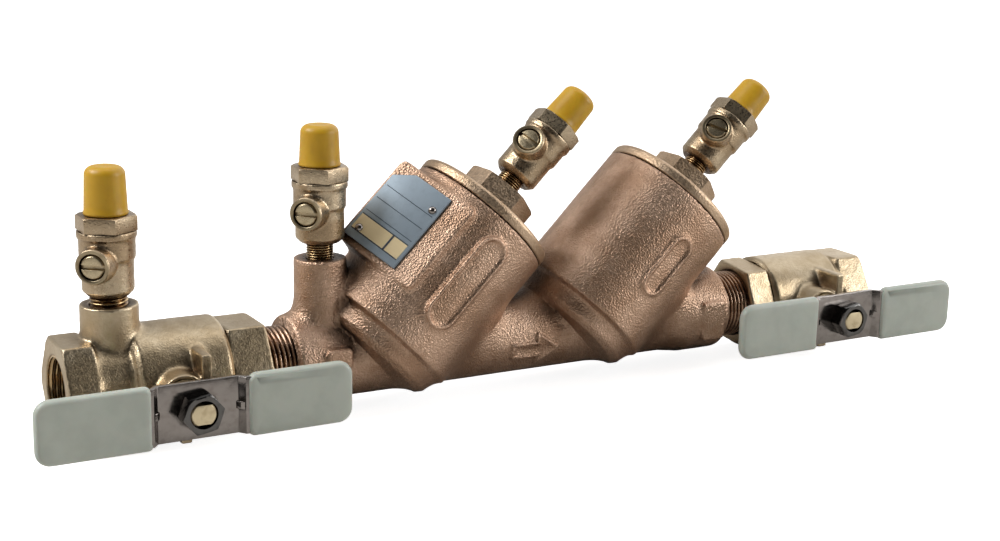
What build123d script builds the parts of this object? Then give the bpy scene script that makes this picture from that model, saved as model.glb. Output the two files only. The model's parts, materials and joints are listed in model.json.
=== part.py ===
from build123d import *
import os
from dataclasses import dataclass
from math import cos, radians, sin, sqrt

# Double check backflow preventer for a 3/4 inch pipe, in millimetres.
# X runs along the pipe with the flow, Z is up, the shut-off levers face -Y.
# The origin is the centre of the inlet port's face.

# ---- places along the pipe ----
TOTAL_LENGTH = 349.6
INLET_STEM_X = 36.8
INLET_VALVE_END = 73.3
CASTING_START = 83.8
COCK_1_X = 19.6
COCK_2_X = 98.4
TOWER_X = (117.8, 205.1)
CASTING_END = 275.0
OUTLET_VALVE_START = 286.6
OUTLET_STEM_X = 315.9

# ---- pipe threads and flow passages ----
PIPE_THREAD_R = 13.5
PIPE_THREAD_PITCH = 1.81
PIPE_THREAD_DEPTH = 0.95
PIPE_SOCKET_R = 13.6
PORT_THREAD_R = 12.6
PORT_THREAD_LENGTH = 15.0
CHANNEL_R = 10.3
MALE_ENGAGEMENT = 11.0

# ---- check towers, both leaning 45 degrees with the flow ----
TOWER_LEAN = 45
TOWER_R = 29.5
TOWER_FOOT = 8.0
TOWER_TOP = 66.3
WEB_R = 26.0
WEB_BOTTOM = -1.0
BARREL_R = 15.7
COLLAR_R = 17.2
CASTING_FLOOR = 15.9
TOWER_BORE_R = 21.0
TOWER_BORE_FLOOR = 1.5
BONNET_THREAD_R = 24.5
BONNET_THREAD_FLOOR = 57.0
SEAT_HOLE_R = 13.6
SEAT_HOLE_BOTTOM = -3.5

# ---- raised features of the casting: (tower, along, across, length, width) ----
LOZENGES = ((0, 39.5, -3.0, 41.0, 13.0), (1, 39.0, 0.0, 28.0, 10.0))
LOZENGE_RIM = 1.5
RELIEF = 0.6
ARROW_X = 182.0
ARROW_Z = -3.6
COLLAR_PADS = ((98.9, 3.0, 10.0, 8.0), (266.3, -1.6, 11.0, 16.0))

# ---- nameplate, on a pad turned round tower 1's own axis ----
NAMEPLATE_TURN = -52
NAMEPLATE_PAD_FACE = 30.4
NAMEPLATE_LENGTH = 33.0
NAMEPLATE_WIDTH = 24.8
NAMEPLATE_THICKNESS = 1.0
NAMEPLATE_ACROSS = -12.3
NAMEPLATE_ALONG = 42.5
PAD_LENGTH = 38.5
PAD_LEFT = -26.0
PAD_RIGHT = 10.0
RIVET_R = 1.6
RIVET_HOLE_R = 0.9
RIVET_HEAD = 1.2
RIVET_PLACES = ((-8.6, -12.0), (9.3, 9.2))

# ---- check seats ----
SEAT_FLANGE_R = 17.5
SEAT_FACE = 3.5
SEAT_LIP_TOP = 4.5
SEAT_BORE_R = 11.5

# ---- check poppets ----
CHECK_TRAVEL = 8.0
DISC_R = 14.6
DISC_TOP = SEAT_LIP_TOP + 3.0
HOLDER_R = 15.8
HOLDER_TOP = 12.0
RETAINER_R = 8.5
RETAINER_FOOT = SEAT_LIP_TOP - 4.2
POPPET_STEM_R = 3.0
POPPET_STEM_TOP = 62.0
POPPET_SCREW_R = 1.5
GUIDE_CLEARANCE = 0.06

# ---- bonnets ----
BONNET_FLANGE_TOP = 70.9
BONNET_HEX_TOP = 81.0
BONNET_HEX_FLATS = 25.4
BONNET_HEX_TURN = 30
BONNET_GAP = 0.2
BONNET_ROOF = 67.4
BONNET_SEAL_HEIGHT = 65.2
STEM_BORE_TOP = POPPET_STEM_TOP + CHECK_TRAVEL + 0.4
GUIDE_BOSS_R = 7.0
GUIDE_BUSH_R = 4.6
GUIDE_BUSH_BOTTOM = 56.0
GUIDE_BUSH_TOP = 63.0

# ---- check springs ----
SPRING_COIL_R = 9.5
SPRING_WIRE_R = 0.9
SPRING_TURNS = 8
SPRING_BOTTOM = HOLDER_TOP + SPRING_WIRE_R + 0.1
SPRING_TOP = BONNET_ROOF - SPRING_WIRE_R - 0.1

# ---- ball valves ----
BALL_R = 14.0
BALL_BORE_R = 9.5
BALL_CLEARANCE = 0.05
SEAT_BACK = 13.6
SEAT_FRONT = 8.0
SEAT_POCKET_R = 13.6
SPIGOT_END = 8.2
CAVITY_R = 14.6
STEM_BOSS_R = 8.4
STEM_BOSS_FACE = 27.0
STEM_R = 4.7
STEM_FLAT = 3.35
STEM_END = 46.5
STEM_COLLAR_R = 6.4
STEM_COLLAR_START = 14.3
STEM_COLLAR_END = 16.4
STEM_WASHER_END = 17.6
GLAND_BOX_R = 6.9
GLAND_BOX_FLOOR = 19.5
PACKING_END = 23.6
GLAND_HEX_FLATS = 11.0
GLAND_FACE = 30.0
UPPER_LUG = ((6.4, 10.0), (6.0, 14.4))
LOWER_LUG = ((-1.4, 2.6), (-16.4, -9.6))

# ---- levers ----
PLATE_THICKNESS = 2.0
PLATE_FACE = 40.5
WING_FACE = 43.1
LEVER_HALF_LENGTH = 54.0
LEVER_HALF_HEIGHT = 10.0
JOGGLE_START = 14.6
JOGGLE_END = 16.6
GUSSET = ((13.2, -PLATE_FACE), (17.0, -WING_FACE), (14.4, -WING_FACE + 1.0))
STOP_TAB = ((9.3, 12.2), (2.9, 5.7))
STOP_TAB_END = 24.2
GRIP_COAT = 1.1
GRIP_START = 17.0
NUT_FLATS = 12.7
NUT_HEIGHT = 6.0

# ---- test cocks, each measured down from the top of its hexagon ----
COCK_TOPS = (60.4, 71.8, 114.8, 114.8)
COCK_TURNS = (-38, -45, -50, -45)
SLOT_ANGLES = (0, 0, 0, 16)
BOSS_1_R = 10.1
BOSS_1_TOP = 29.2
BOSS_2_TOP = 37.9
BOSS_2_R = 9.7
COCK_HEX_FLATS = 18.6
COCK_HEX_HEIGHT = 5.3
COCK_LENGTH = 28.1
COCK_FLOW_R = 2.6
COCK_POCKET_R = 5.5
COCK_MOUTH_R = 7.5
COCK_MOUTH_FLOOR = -9.4
COCK_SEAT_BACK = 6.2
COCK_SEAT_FRONT = 3.4
COCK_BALL_R = 5.0
COCK_BORE_R = 2.2
COCK_STEM_DROP = 15.6
COCK_STEM_REACH = 14.0
COCK_STEM_R = 2.42
COCK_STEM_HOLE_R = 2.5
COCK_HEAD_R = 3.8
COCK_HEAD_RECESS_R = 4.6
COCK_HEAD_START = 10.7
COCK_THREADS = (
    (6.6, 0.7, 1.41, 10.0),
    (4.97, 0.5, 0.94, 11.5),
    (4.97, 0.5, 0.94, 11.0),
    (4.97, 0.5, 0.94, 11.0),
)
NOZZLE_R = 5.6
NOZZLE_LENGTH = 11.5
NOZZLE_CONE = 2.6
CAP_BASE_R = 7.6
CAP_LENGTHS = (16.7, 15.0, 15.4, 14.3)


def side_plane(frame):
    """The plane through a frame's Z axis in which x is a radius and y is a height."""
    return Plane(frame.origin, x_dir=frame.x_dir, z_dir=-frame.y_dir)


def turned(frame, outline, mode=Mode.ADD):
    """Revolve a closed (radius, height) outline about the frame's Z axis."""
    with BuildSketch(side_plane(frame)) as profile:
        with BuildLine():
            Polyline(*outline, close=True)
        make_face()
    revolve(profile.sketch, axis=Axis(frame.origin, frame.z_dir), mode=mode)


def rod(frame, radius, start, end, mode=Mode.ADD):
    """A round bar or hole along the frame's Z axis between two heights."""
    with BuildSketch(frame.offset(start)) as section:
        Circle(radius)
    extrude(section.sketch, amount=end - start, mode=mode)


def ball(frame, radius, height, mode=Mode.ADD):
    """A sphere centred on the frame's Z axis at a height."""
    with BuildSketch(side_plane(frame).offset(0)) as half_disc:
        with BuildLine():
            CenterArc((0, height), radius, -90, 180)
            Line((0, height - radius), (0, height + radius))
        make_face()
    revolve(half_disc.sketch, axis=Axis(frame.origin, frame.z_dir), mode=mode)


def block(frame, x_range, y_range, z_range, mode=Mode.ADD):
    """A rectangular block given by its ranges in a frame."""
    with BuildSketch(frame.offset(z_range[0])) as section:
        with Locations(((x_range[0] + x_range[1]) / 2, (y_range[0] + y_range[1]) / 2)):
            Rectangle(x_range[1] - x_range[0], y_range[1] - y_range[0])
    extrude(section.sketch, amount=z_range[1] - z_range[0], mode=mode)


def hexagon(frame, flats, start, end, turn=0, corner_cut=0.9, cut_start=False):
    """A free-standing hexagonal bar with its corners turned off, to be added to a piece."""
    with BuildPart() as bar:
        with BuildSketch(frame.offset(start)) as section:
            RegularPolygon(flats / 2, 6, major_radius=False, rotation=turn)
        extrude(section.sketch, amount=end - start)
        corner = flats / sqrt(3)
        limit = [
            (0, start),
            (corner, start),
            (corner, end - 0.6 * corner_cut),
            (corner - corner_cut, end),
            (0, end),
        ]
        if cut_start:
            limit[1:2] = [(corner - corner_cut, start), (corner, start + 0.6 * corner_cut)]
        turned(frame, limit, Mode.INTERSECT)
    return bar.part


def o_ring(frame, ring_r, section_r, height):
    """An O-ring round the frame's Z axis."""
    with BuildSketch(side_plane(frame)) as section:
        with Locations((ring_r, height)):
            Circle(section_r)
    revolve(section.sketch, axis=Axis(frame.origin, frame.z_dir))


def threaded(frame, radius, depth, pitch, start, end, mode=Mode.ADD):
    """A male thread shown as a stack of ridges along the frame's Z axis."""
    count = int((end - start) / pitch)
    step = (end - start) / count
    outline = [(0, start)]
    for ridge in range(count):
        base = start + ridge * step
        outline += [
            (radius - depth, base),
            (radius, base + 0.40 * step),
            (radius, base + 0.55 * step),
        ]
    outline += [(radius - depth, end), (0, end)]
    turned(frame, outline, mode)


def spun(frame, angle):
    """The same frame turned about its own Z axis, in degrees."""
    return Plane(frame.location * Location((0, 0, 0), (0, 0, angle)))


def save(piece, name):
    """Label a finished piece and write it as its own STEP file."""
    piece.label = name
    export_step(piece, f"parts/{name}.step")


os.makedirs("parts", exist_ok=True)

pipe = Plane.YZ
towers = [
    Plane(
        origin=(x, 0, 0),
        x_dir=(cos(radians(TOWER_LEAN)), 0, -sin(radians(TOWER_LEAN))),
        z_dir=(sin(radians(TOWER_LEAN)), 0, cos(radians(TOWER_LEAN))),
    )
    for x in TOWER_X
]
cocks = [
    spun(stand.offset(top), turn)
    for stand, top, turn in zip(
        (Plane((COCK_1_X, 0, 0)), Plane((COCK_2_X, 0, 0)), *towers), COCK_TOPS, COCK_TURNS
    )
]

# ================= check casting =================

name_side = spun(towers[0], NAMEPLATE_TURN)
name_plane = Plane(
    origin=name_side.origin + name_side.z_dir * NAMEPLATE_ALONG,
    x_dir=name_side.x_dir,
    z_dir=-name_side.y_dir,
)

with BuildPart() as lozenge_rims:
    for index, along, across, length, width in LOZENGES:
        tower = towers[index]
        front = Plane(
            origin=tower.origin + tower.z_dir * along + tower.x_dir * across,
            x_dir=tower.z_dir,
            z_dir=-tower.y_dir,
        )
        with BuildSketch(front) as racetrack:
            SlotOverall(length, width)
            SlotOverall(length - 2 * LOZENGE_RIM, width - 2 * LOZENGE_RIM, mode=Mode.SUBTRACT)
        extrude(racetrack.sketch, amount=TOWER_R + RELIEF)

with BuildPart() as flow_arrow:
    with BuildSketch(Plane.XZ) as arrow_outline:
        with BuildLine():
            Polyline(
                (ARROW_X - 10, ARROW_Z - 2.6),
                (ARROW_X + 1, ARROW_Z - 2.6),
                (ARROW_X + 1, ARROW_Z - 6.0),
                (ARROW_X + 10, ARROW_Z),
                (ARROW_X + 1, ARROW_Z + 6.0),
                (ARROW_X + 1, ARROW_Z + 2.6),
                (ARROW_X - 10, ARROW_Z + 2.6),
                close=True,
            )
        make_face()
        offset(amount=-1.1, kind=Kind.INTERSECTION, mode=Mode.SUBTRACT)
    extrude(arrow_outline.sketch, amount=COLLAR_R)
    with BuildSketch(Plane.YZ.offset(ARROW_X - 15)) as arrow_limit:
        Circle(BARREL_R + RELIEF)
    extrude(arrow_limit.sketch, amount=30, mode=Mode.INTERSECT)

with BuildPart() as outer_casting:
    for tower in towers:
        rod(tower, TOWER_R, TOWER_FOOT, TOWER_TOP)
        turned(
            tower,
            [
                (0, WEB_BOTTOM),
                (WEB_R - 2.5, WEB_BOTTOM),
                (WEB_R, WEB_BOTTOM + 2.5),
                (WEB_R, TOWER_FOOT),
                (0, TOWER_FOOT),
            ],
        )
    split(bisect_by=Plane.XY.offset(-CASTING_FLOOR), keep=Keep.TOP)
    turned(
        pipe,
        [
            (0, CASTING_START),
            (COLLAR_R - 1.2, CASTING_START),
            (COLLAR_R, CASTING_START + 1.2),
            (COLLAR_R, CASTING_START + 9),
            (BARREL_R, CASTING_START + 15),
            (BARREL_R, CASTING_END - 28),
            (COLLAR_R, CASTING_END - 18),
            (COLLAR_R, CASTING_END - 1.2),
            (COLLAR_R - 1.2, CASTING_END),
            (0, CASTING_END),
        ],
    )
    threaded(
        pipe,
        PIPE_THREAD_R,
        PIPE_THREAD_DEPTH,
        PIPE_THREAD_PITCH,
        INLET_VALVE_END - MALE_ENGAGEMENT,
        CASTING_START,
    )
    threaded(
        pipe,
        PIPE_THREAD_R,
        PIPE_THREAD_DEPTH,
        PIPE_THREAD_PITCH,
        CASTING_END,
        OUTLET_VALVE_START + MALE_ENGAGEMENT,
    )
    with BuildSketch(Plane.XY) as cock_boss:
        with Locations((COCK_2_X, 0)):
            Circle(BOSS_2_R)
    extrude(cock_boss.sketch, amount=BOSS_2_TOP)
    with BuildSketch(name_plane) as name_pad:
        with Locations(((PAD_LEFT + PAD_RIGHT) / 2, 0)):
            RectangleRounded(PAD_RIGHT - PAD_LEFT, PAD_LENGTH, 2.5)
    extrude(name_pad.sketch, amount=NAMEPLATE_PAD_FACE)
    for pad_x, pad_z, pad_w, pad_h in COLLAR_PADS:
        with BuildSketch(Plane.XZ) as raised_pad:
            with Locations((pad_x, pad_z)):
                RectangleRounded(pad_w, pad_h, 1.5)
        extrude(raised_pad.sketch, amount=COLLAR_R + RELIEF)
    add(lozenge_rims.part)
    add(flow_arrow.part)

# Water passages. A channel under a seat ends at that tower's web, and one that
# leaves a tower starts above its web.


def below_web(tower):
    """Keep only what lies under a tower's seat web."""
    split(bisect_by=tower.offset(SEAT_HOLE_BOTTOM), keep=Keep.BOTTOM)


def above_web(tower):
    """Keep only what lies over a tower's seat web."""
    split(bisect_by=tower.offset(TOWER_BORE_FLOOR), keep=Keep.TOP)


with BuildPart() as inlet_channel:
    rod(pipe, CHANNEL_R, INLET_VALVE_END - MALE_ENGAGEMENT, TOWER_X[0] + 30)
    below_web(towers[0])

with BuildPart() as middle_channel:
    rod(pipe, CHANNEL_R, TOWER_X[0] - 30, TOWER_X[1] + 30)
    above_web(towers[0])
    below_web(towers[1])

with BuildPart() as outlet_channel:
    rod(pipe, CHANNEL_R, TOWER_X[1] - 30, OUTLET_VALVE_START + MALE_ENGAGEMENT)
    above_web(towers[1])

with BuildPart() as check_body:
    add(outer_casting.part)
    for passage in (inlet_channel, middle_channel, outlet_channel):
        add(passage.part, mode=Mode.SUBTRACT)
    for tower in towers:
        rod(tower, SEAT_HOLE_R, SEAT_HOLE_BOTTOM, TOWER_BORE_FLOOR, Mode.SUBTRACT)
        rod(tower, SEAT_HOLE_R - 2.1, SEAT_HOLE_BOTTOM - 3, SEAT_HOLE_BOTTOM, Mode.SUBTRACT)
        rod(tower, TOWER_BORE_R, TOWER_BORE_FLOOR, BONNET_THREAD_FLOOR, Mode.SUBTRACT)
        rod(tower, BONNET_THREAD_R, BONNET_THREAD_FLOOR, TOWER_TOP, Mode.SUBTRACT)
    with BuildSketch(Plane.XY.offset(BOSS_2_TOP)) as cock_hole:
        with Locations((COCK_2_X, 0)):
            Circle(5.1)
    extrude(cock_hole.sketch, amount=-13, mode=Mode.SUBTRACT)
    with BuildSketch(Plane.XY.offset(BOSS_2_TOP)) as cock_drilling:
        with Locations((COCK_2_X, 0)):
            Circle(3)
    extrude(cock_drilling.sketch, amount=-34, mode=Mode.SUBTRACT)
save(check_body.part, "check_body")

# ================= nameplate =================

with BuildPart() as nameplate:
    with BuildSketch(name_plane.offset(NAMEPLATE_PAD_FACE)) as plate_outline:
        with Locations((NAMEPLATE_ACROSS, 0)):
            RectangleRounded(NAMEPLATE_WIDTH, NAMEPLATE_LENGTH, 1.2)
        with Locations(*[(NAMEPLATE_ACROSS + x, y) for x, y in RIVET_PLACES]):
            Circle(RIVET_HOLE_R, mode=Mode.SUBTRACT)
    extrude(plate_outline.sketch, amount=NAMEPLATE_THICKNESS)
    plate_front = nameplate.faces().sort_by(Axis(name_plane.origin, name_plane.z_dir))[-1]
    fillet(plate_front.outer_wire().edges(), 0.4)
save(nameplate.part, "nameplate")

plate_face = name_plane.offset(NAMEPLATE_PAD_FACE + NAMEPLATE_THICKNESS)

with BuildPart() as nameplate_rivets:
    for across, along in RIVET_PLACES:
        place = Plane(plate_face.location * Location((NAMEPLATE_ACROSS + across, along, 0)))
        with BuildSketch(side_plane(place)) as rivet_profile:
            with BuildLine():
                Polyline(
                    (0, RIVET_HEAD),
                    (0, -NAMEPLATE_THICKNESS),
                    (RIVET_HOLE_R - 0.05, -NAMEPLATE_THICKNESS),
                    (RIVET_HOLE_R - 0.05, 0),
                    (RIVET_R, 0),
                )
                ThreePointArc((RIVET_R, 0), (1.15, 0.8), (0.3, RIVET_HEAD))
                Line((0.3, RIVET_HEAD), (0, RIVET_HEAD))
            make_face()
        revolve(rivet_profile.sketch, axis=Axis(place.origin, place.z_dir))
save(nameplate_rivets.part, "nameplate_rivets")

# ================= check seats =================

with BuildPart() as check_seats:
    for tower in towers:
        turned(
            tower,
            [
                (SEAT_BORE_R, SEAT_HOLE_BOTTOM),
                (SEAT_HOLE_R - 0.05, SEAT_HOLE_BOTTOM),
                (SEAT_HOLE_R - 0.05, TOWER_BORE_FLOOR),
                (14.0, TOWER_BORE_FLOOR),
                (14.0, TOWER_BORE_FLOOR + 0.9),
                (15.8, TOWER_BORE_FLOOR + 0.9),
                (15.8, TOWER_BORE_FLOOR),
                (SEAT_FLANGE_R, TOWER_BORE_FLOOR),
                (SEAT_FLANGE_R, SEAT_FACE),
                (SEAT_BORE_R + 2.0, SEAT_FACE),
                (SEAT_BORE_R + 1.2, SEAT_LIP_TOP),
                (SEAT_BORE_R + 0.5, SEAT_LIP_TOP),
                (SEAT_BORE_R, SEAT_FACE + 0.2),
            ],
        )
save(check_seats.part, "check_seats")

with BuildPart() as check_seat_seals:
    for tower in towers:
        o_ring(tower, 14.9, 0.43, TOWER_BORE_FLOOR + 0.45)
save(check_seat_seals.part, "check_seat_seals")

# ================= check poppets =================

for number, tower in enumerate(towers, start=1):
    with BuildPart() as poppet:
        turned(
            tower,
            [
                (POPPET_SCREW_R, DISC_TOP),
                (DISC_R + 0.1, DISC_TOP),
                (DISC_R + 0.1, SEAT_LIP_TOP + 0.6),
                (HOLDER_R, SEAT_LIP_TOP + 0.6),
                (HOLDER_R, HOLDER_TOP - 2.0),
                (HOLDER_R - 2.0, HOLDER_TOP),
                (POPPET_STEM_R + 3.5, HOLDER_TOP),
                (POPPET_STEM_R + 2.0, HOLDER_TOP + 7.0),
                (POPPET_STEM_R, HOLDER_TOP + 10.0),
                (POPPET_STEM_R, POPPET_STEM_TOP - 1.0),
                (POPPET_STEM_R - 1.0, POPPET_STEM_TOP),
                (0, POPPET_STEM_TOP),
                (0, DISC_TOP + 9.0),
                (POPPET_SCREW_R, DISC_TOP + 9.0),
            ],
        )
    save(poppet.part, f"poppet_{number}")

    with BuildPart() as seat_disc:
        turned(
            tower,
            [
                (POPPET_SCREW_R, SEAT_LIP_TOP),
                (DISC_R, SEAT_LIP_TOP),
                (DISC_R, DISC_TOP),
                (POPPET_SCREW_R, DISC_TOP),
            ],
        )
    save(seat_disc.part, f"seat_disc_{number}")

    with BuildPart() as disc_retainer:
        turned(
            tower,
            [
                (0, RETAINER_FOOT),
                (2.4, RETAINER_FOOT),
                (2.9, SEAT_LIP_TOP - 3.6),
                (2.9, SEAT_LIP_TOP - 1.5),
                (RETAINER_R - 0.5, SEAT_LIP_TOP - 1.5),
                (RETAINER_R, SEAT_LIP_TOP - 1.0),
                (RETAINER_R, SEAT_LIP_TOP),
                (POPPET_SCREW_R - 0.02, SEAT_LIP_TOP),
                (POPPET_SCREW_R - 0.02, DISC_TOP + 8.5),
                (0, DISC_TOP + 8.5),
            ],
        )
        with BuildSketch(tower.offset(RETAINER_FOOT)) as screw_slot:
            Rectangle(7, 0.9)
        extrude(screw_slot.sketch, amount=1.4, mode=Mode.SUBTRACT)
    save(disc_retainer.part, f"disc_retainer_{number}")

# ================= bonnets =================

for number, tower in enumerate(towers, start=1):
    with BuildPart() as bonnet:
        with BuildSketch(side_plane(tower)) as bonnet_profile:
            with BuildLine():
                Polyline(
                    (GUIDE_BUSH_R, BONNET_THREAD_FLOOR - 2.0),
                    (GUIDE_BOSS_R, BONNET_THREAD_FLOOR - 2.0),
                    (GUIDE_BOSS_R, BONNET_ROOF),
                    (19.5, BONNET_ROOF),
                    (20.5, BONNET_ROOF - 1.0),
                    (20.5, BONNET_THREAD_FLOOR + 0.5),
                    (BONNET_THREAD_R - 1.0, BONNET_THREAD_FLOOR + 0.5),
                    (BONNET_THREAD_R - 0.2, BONNET_THREAD_FLOOR + 1.3),
                    (BONNET_THREAD_R - 0.2, BONNET_SEAL_HEIGHT - 1.1),
                    (BONNET_THREAD_R - 2.0, BONNET_SEAL_HEIGHT - 1.1),
                    (BONNET_THREAD_R - 2.0, BONNET_SEAL_HEIGHT + 1.1),
                    (BONNET_THREAD_R - 0.2, BONNET_SEAL_HEIGHT + 1.1),
                    (BONNET_THREAD_R - 0.2, TOWER_TOP + BONNET_GAP),
                    (TOWER_R - 0.5, TOWER_TOP + BONNET_GAP),
                    (TOWER_R, TOWER_TOP + BONNET_GAP + 0.4),
                )
                Line((TOWER_R, TOWER_TOP + BONNET_GAP + 0.4), (TOWER_R, BONNET_FLANGE_TOP - 1.8))
                ThreePointArc(
                    (TOWER_R, BONNET_FLANGE_TOP - 1.8),
                    (TOWER_R - 0.53, BONNET_FLANGE_TOP - 0.53),
                    (TOWER_R - 1.8, BONNET_FLANGE_TOP),
                )
                Polyline(
                    (TOWER_R - 1.8, BONNET_FLANGE_TOP),
                    (0, BONNET_FLANGE_TOP),
                    (0, STEM_BORE_TOP),
                    (POPPET_STEM_R + 0.6, STEM_BORE_TOP),
                    (POPPET_STEM_R + 0.6, GUIDE_BUSH_TOP),
                    (GUIDE_BUSH_R, GUIDE_BUSH_TOP),
                    (GUIDE_BUSH_R, BONNET_THREAD_FLOOR - 2.0),
                )
            make_face()
        revolve(bonnet_profile.sketch, axis=Axis(tower.origin, tower.z_dir))
        add(hexagon(tower, BONNET_HEX_FLATS, BONNET_FLANGE_TOP, BONNET_HEX_TOP, BONNET_HEX_TURN))
        rod(tower, 5.1, BONNET_HEX_TOP - 8.0, BONNET_HEX_TOP, Mode.SUBTRACT)
        rod(tower, 2.5, STEM_BORE_TOP - 1.0, BONNET_HEX_TOP, Mode.SUBTRACT)
        vent = Plane(tower.origin + tower.z_dir * (BONNET_ROOF - 2.0), z_dir=tower.x_dir)
        with BuildSketch(vent.offset(-10)) as vent_section:
            Circle(1.5)
        extrude(vent_section.sketch, amount=20, mode=Mode.SUBTRACT)
    save(bonnet.part, f"bonnet_{number}")

with BuildPart() as bonnet_seals:
    for tower in towers:
        o_ring(tower, BONNET_THREAD_R - 1.0, 0.95, BONNET_SEAL_HEIGHT)
save(bonnet_seals.part, "bonnet_seals")

with BuildPart() as poppet_guides:
    for tower in towers:
        turned(
            tower,
            [
                (POPPET_STEM_R + GUIDE_CLEARANCE, GUIDE_BUSH_BOTTOM - 2.0),
                (GUIDE_BOSS_R - 0.5, GUIDE_BUSH_BOTTOM - 2.0),
                (GUIDE_BOSS_R - 0.5, GUIDE_BUSH_BOTTOM - 1.0),
                (GUIDE_BUSH_R - 0.02, GUIDE_BUSH_BOTTOM - 1.0),
                (GUIDE_BUSH_R - 0.02, GUIDE_BUSH_TOP),
                (POPPET_STEM_R + GUIDE_CLEARANCE, GUIDE_BUSH_TOP),
            ],
        )
save(poppet_guides.part, "poppet_guides")

# ================= check springs =================

for number, tower in enumerate(towers, start=1):
    coil_height = SPRING_TOP - SPRING_BOTTOM
    with BuildPart() as check_spring:
        with BuildLine() as coil:
            Helix(
                coil_height / SPRING_TURNS,
                coil_height,
                SPRING_COIL_R,
                center=tower.origin + tower.z_dir * SPRING_BOTTOM,
                direction=tower.z_dir,
            )
        with BuildSketch(Plane(origin=coil.line @ 0, z_dir=coil.line % 0)) as wire:
            Circle(SPRING_WIRE_R)
        sweep(wire.sketch, path=coil.line, is_frenet=True)
    save(check_spring.part, f"check_spring_{number}")

# ================= shut-off ball valves =================


def lever_strip(centre_x):
    """The lever strip's section seen from above: flat centre, joggled ends."""
    wing_back = PLATE_THICKNESS - WING_FACE
    right_side = [
        (JOGGLE_START, PLATE_THICKNESS - PLATE_FACE),
        (JOGGLE_END, wing_back),
        (LEVER_HALF_LENGTH, wing_back),
        (LEVER_HALF_LENGTH, -WING_FACE),
        (JOGGLE_END - 0.6, -WING_FACE),
        (JOGGLE_START - 0.6, -PLATE_FACE),
    ]
    left_side = [(-x, y) for x, y in reversed(right_side)]
    return [(centre_x + x, y) for x, y in right_side + left_side]


@dataclass
class Valve:
    """One ball valve. Heights along it are counted from its stem, negative towards
    the screwed-in end piece and positive towards the open port."""

    name: str
    stem_x: float
    direction: int
    face: float
    hex_start: float
    barrel_end: float
    end_face: float
    joint: float
    flats: float
    barrel_r: float
    neck_r: float
    spigot_r: float
    end_turn: float

    @property
    def frame(self):
        """The frame whose Z axis runs along the valve's bore."""
        return Plane((self.stem_x, 0, 0), x_dir=(0, 1, 0), z_dir=(self.direction, 0, 0))

    @property
    def stem_frame(self):
        """The frame whose Z axis runs out along the valve's stem."""
        return Plane((self.stem_x, 0, 0), x_dir=(1, 0, 0), z_dir=(0, -1, 0))


inlet = Valve(
    name="inlet",
    stem_x=INLET_STEM_X,
    direction=-1,
    face=INLET_STEM_X,
    hex_start=INLET_STEM_X - 11.2,
    barrel_end=INLET_STEM_X - 23.7,
    end_face=INLET_STEM_X - INLET_VALVE_END,
    joint=INLET_STEM_X - INLET_VALVE_END + 15.0,
    flats=34.8,
    barrel_r=20.5,
    neck_r=17.0,
    spigot_r=17.6,
    end_turn=0,
)
outlet = Valve(
    name="outlet",
    stem_x=OUTLET_STEM_X,
    direction=1,
    face=TOTAL_LENGTH - OUTLET_STEM_X,
    hex_start=TOTAL_LENGTH - OUTLET_STEM_X - 13.5,
    barrel_end=TOTAL_LENGTH - OUTLET_STEM_X - 15.0,
    end_face=OUTLET_VALVE_START - OUTLET_STEM_X,
    joint=OUTLET_VALVE_START - OUTLET_STEM_X + 11.2,
    flats=32.4,
    barrel_r=18.3,
    neck_r=16.0,
    spigot_r=16.2,
    end_turn=6,
)


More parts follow.
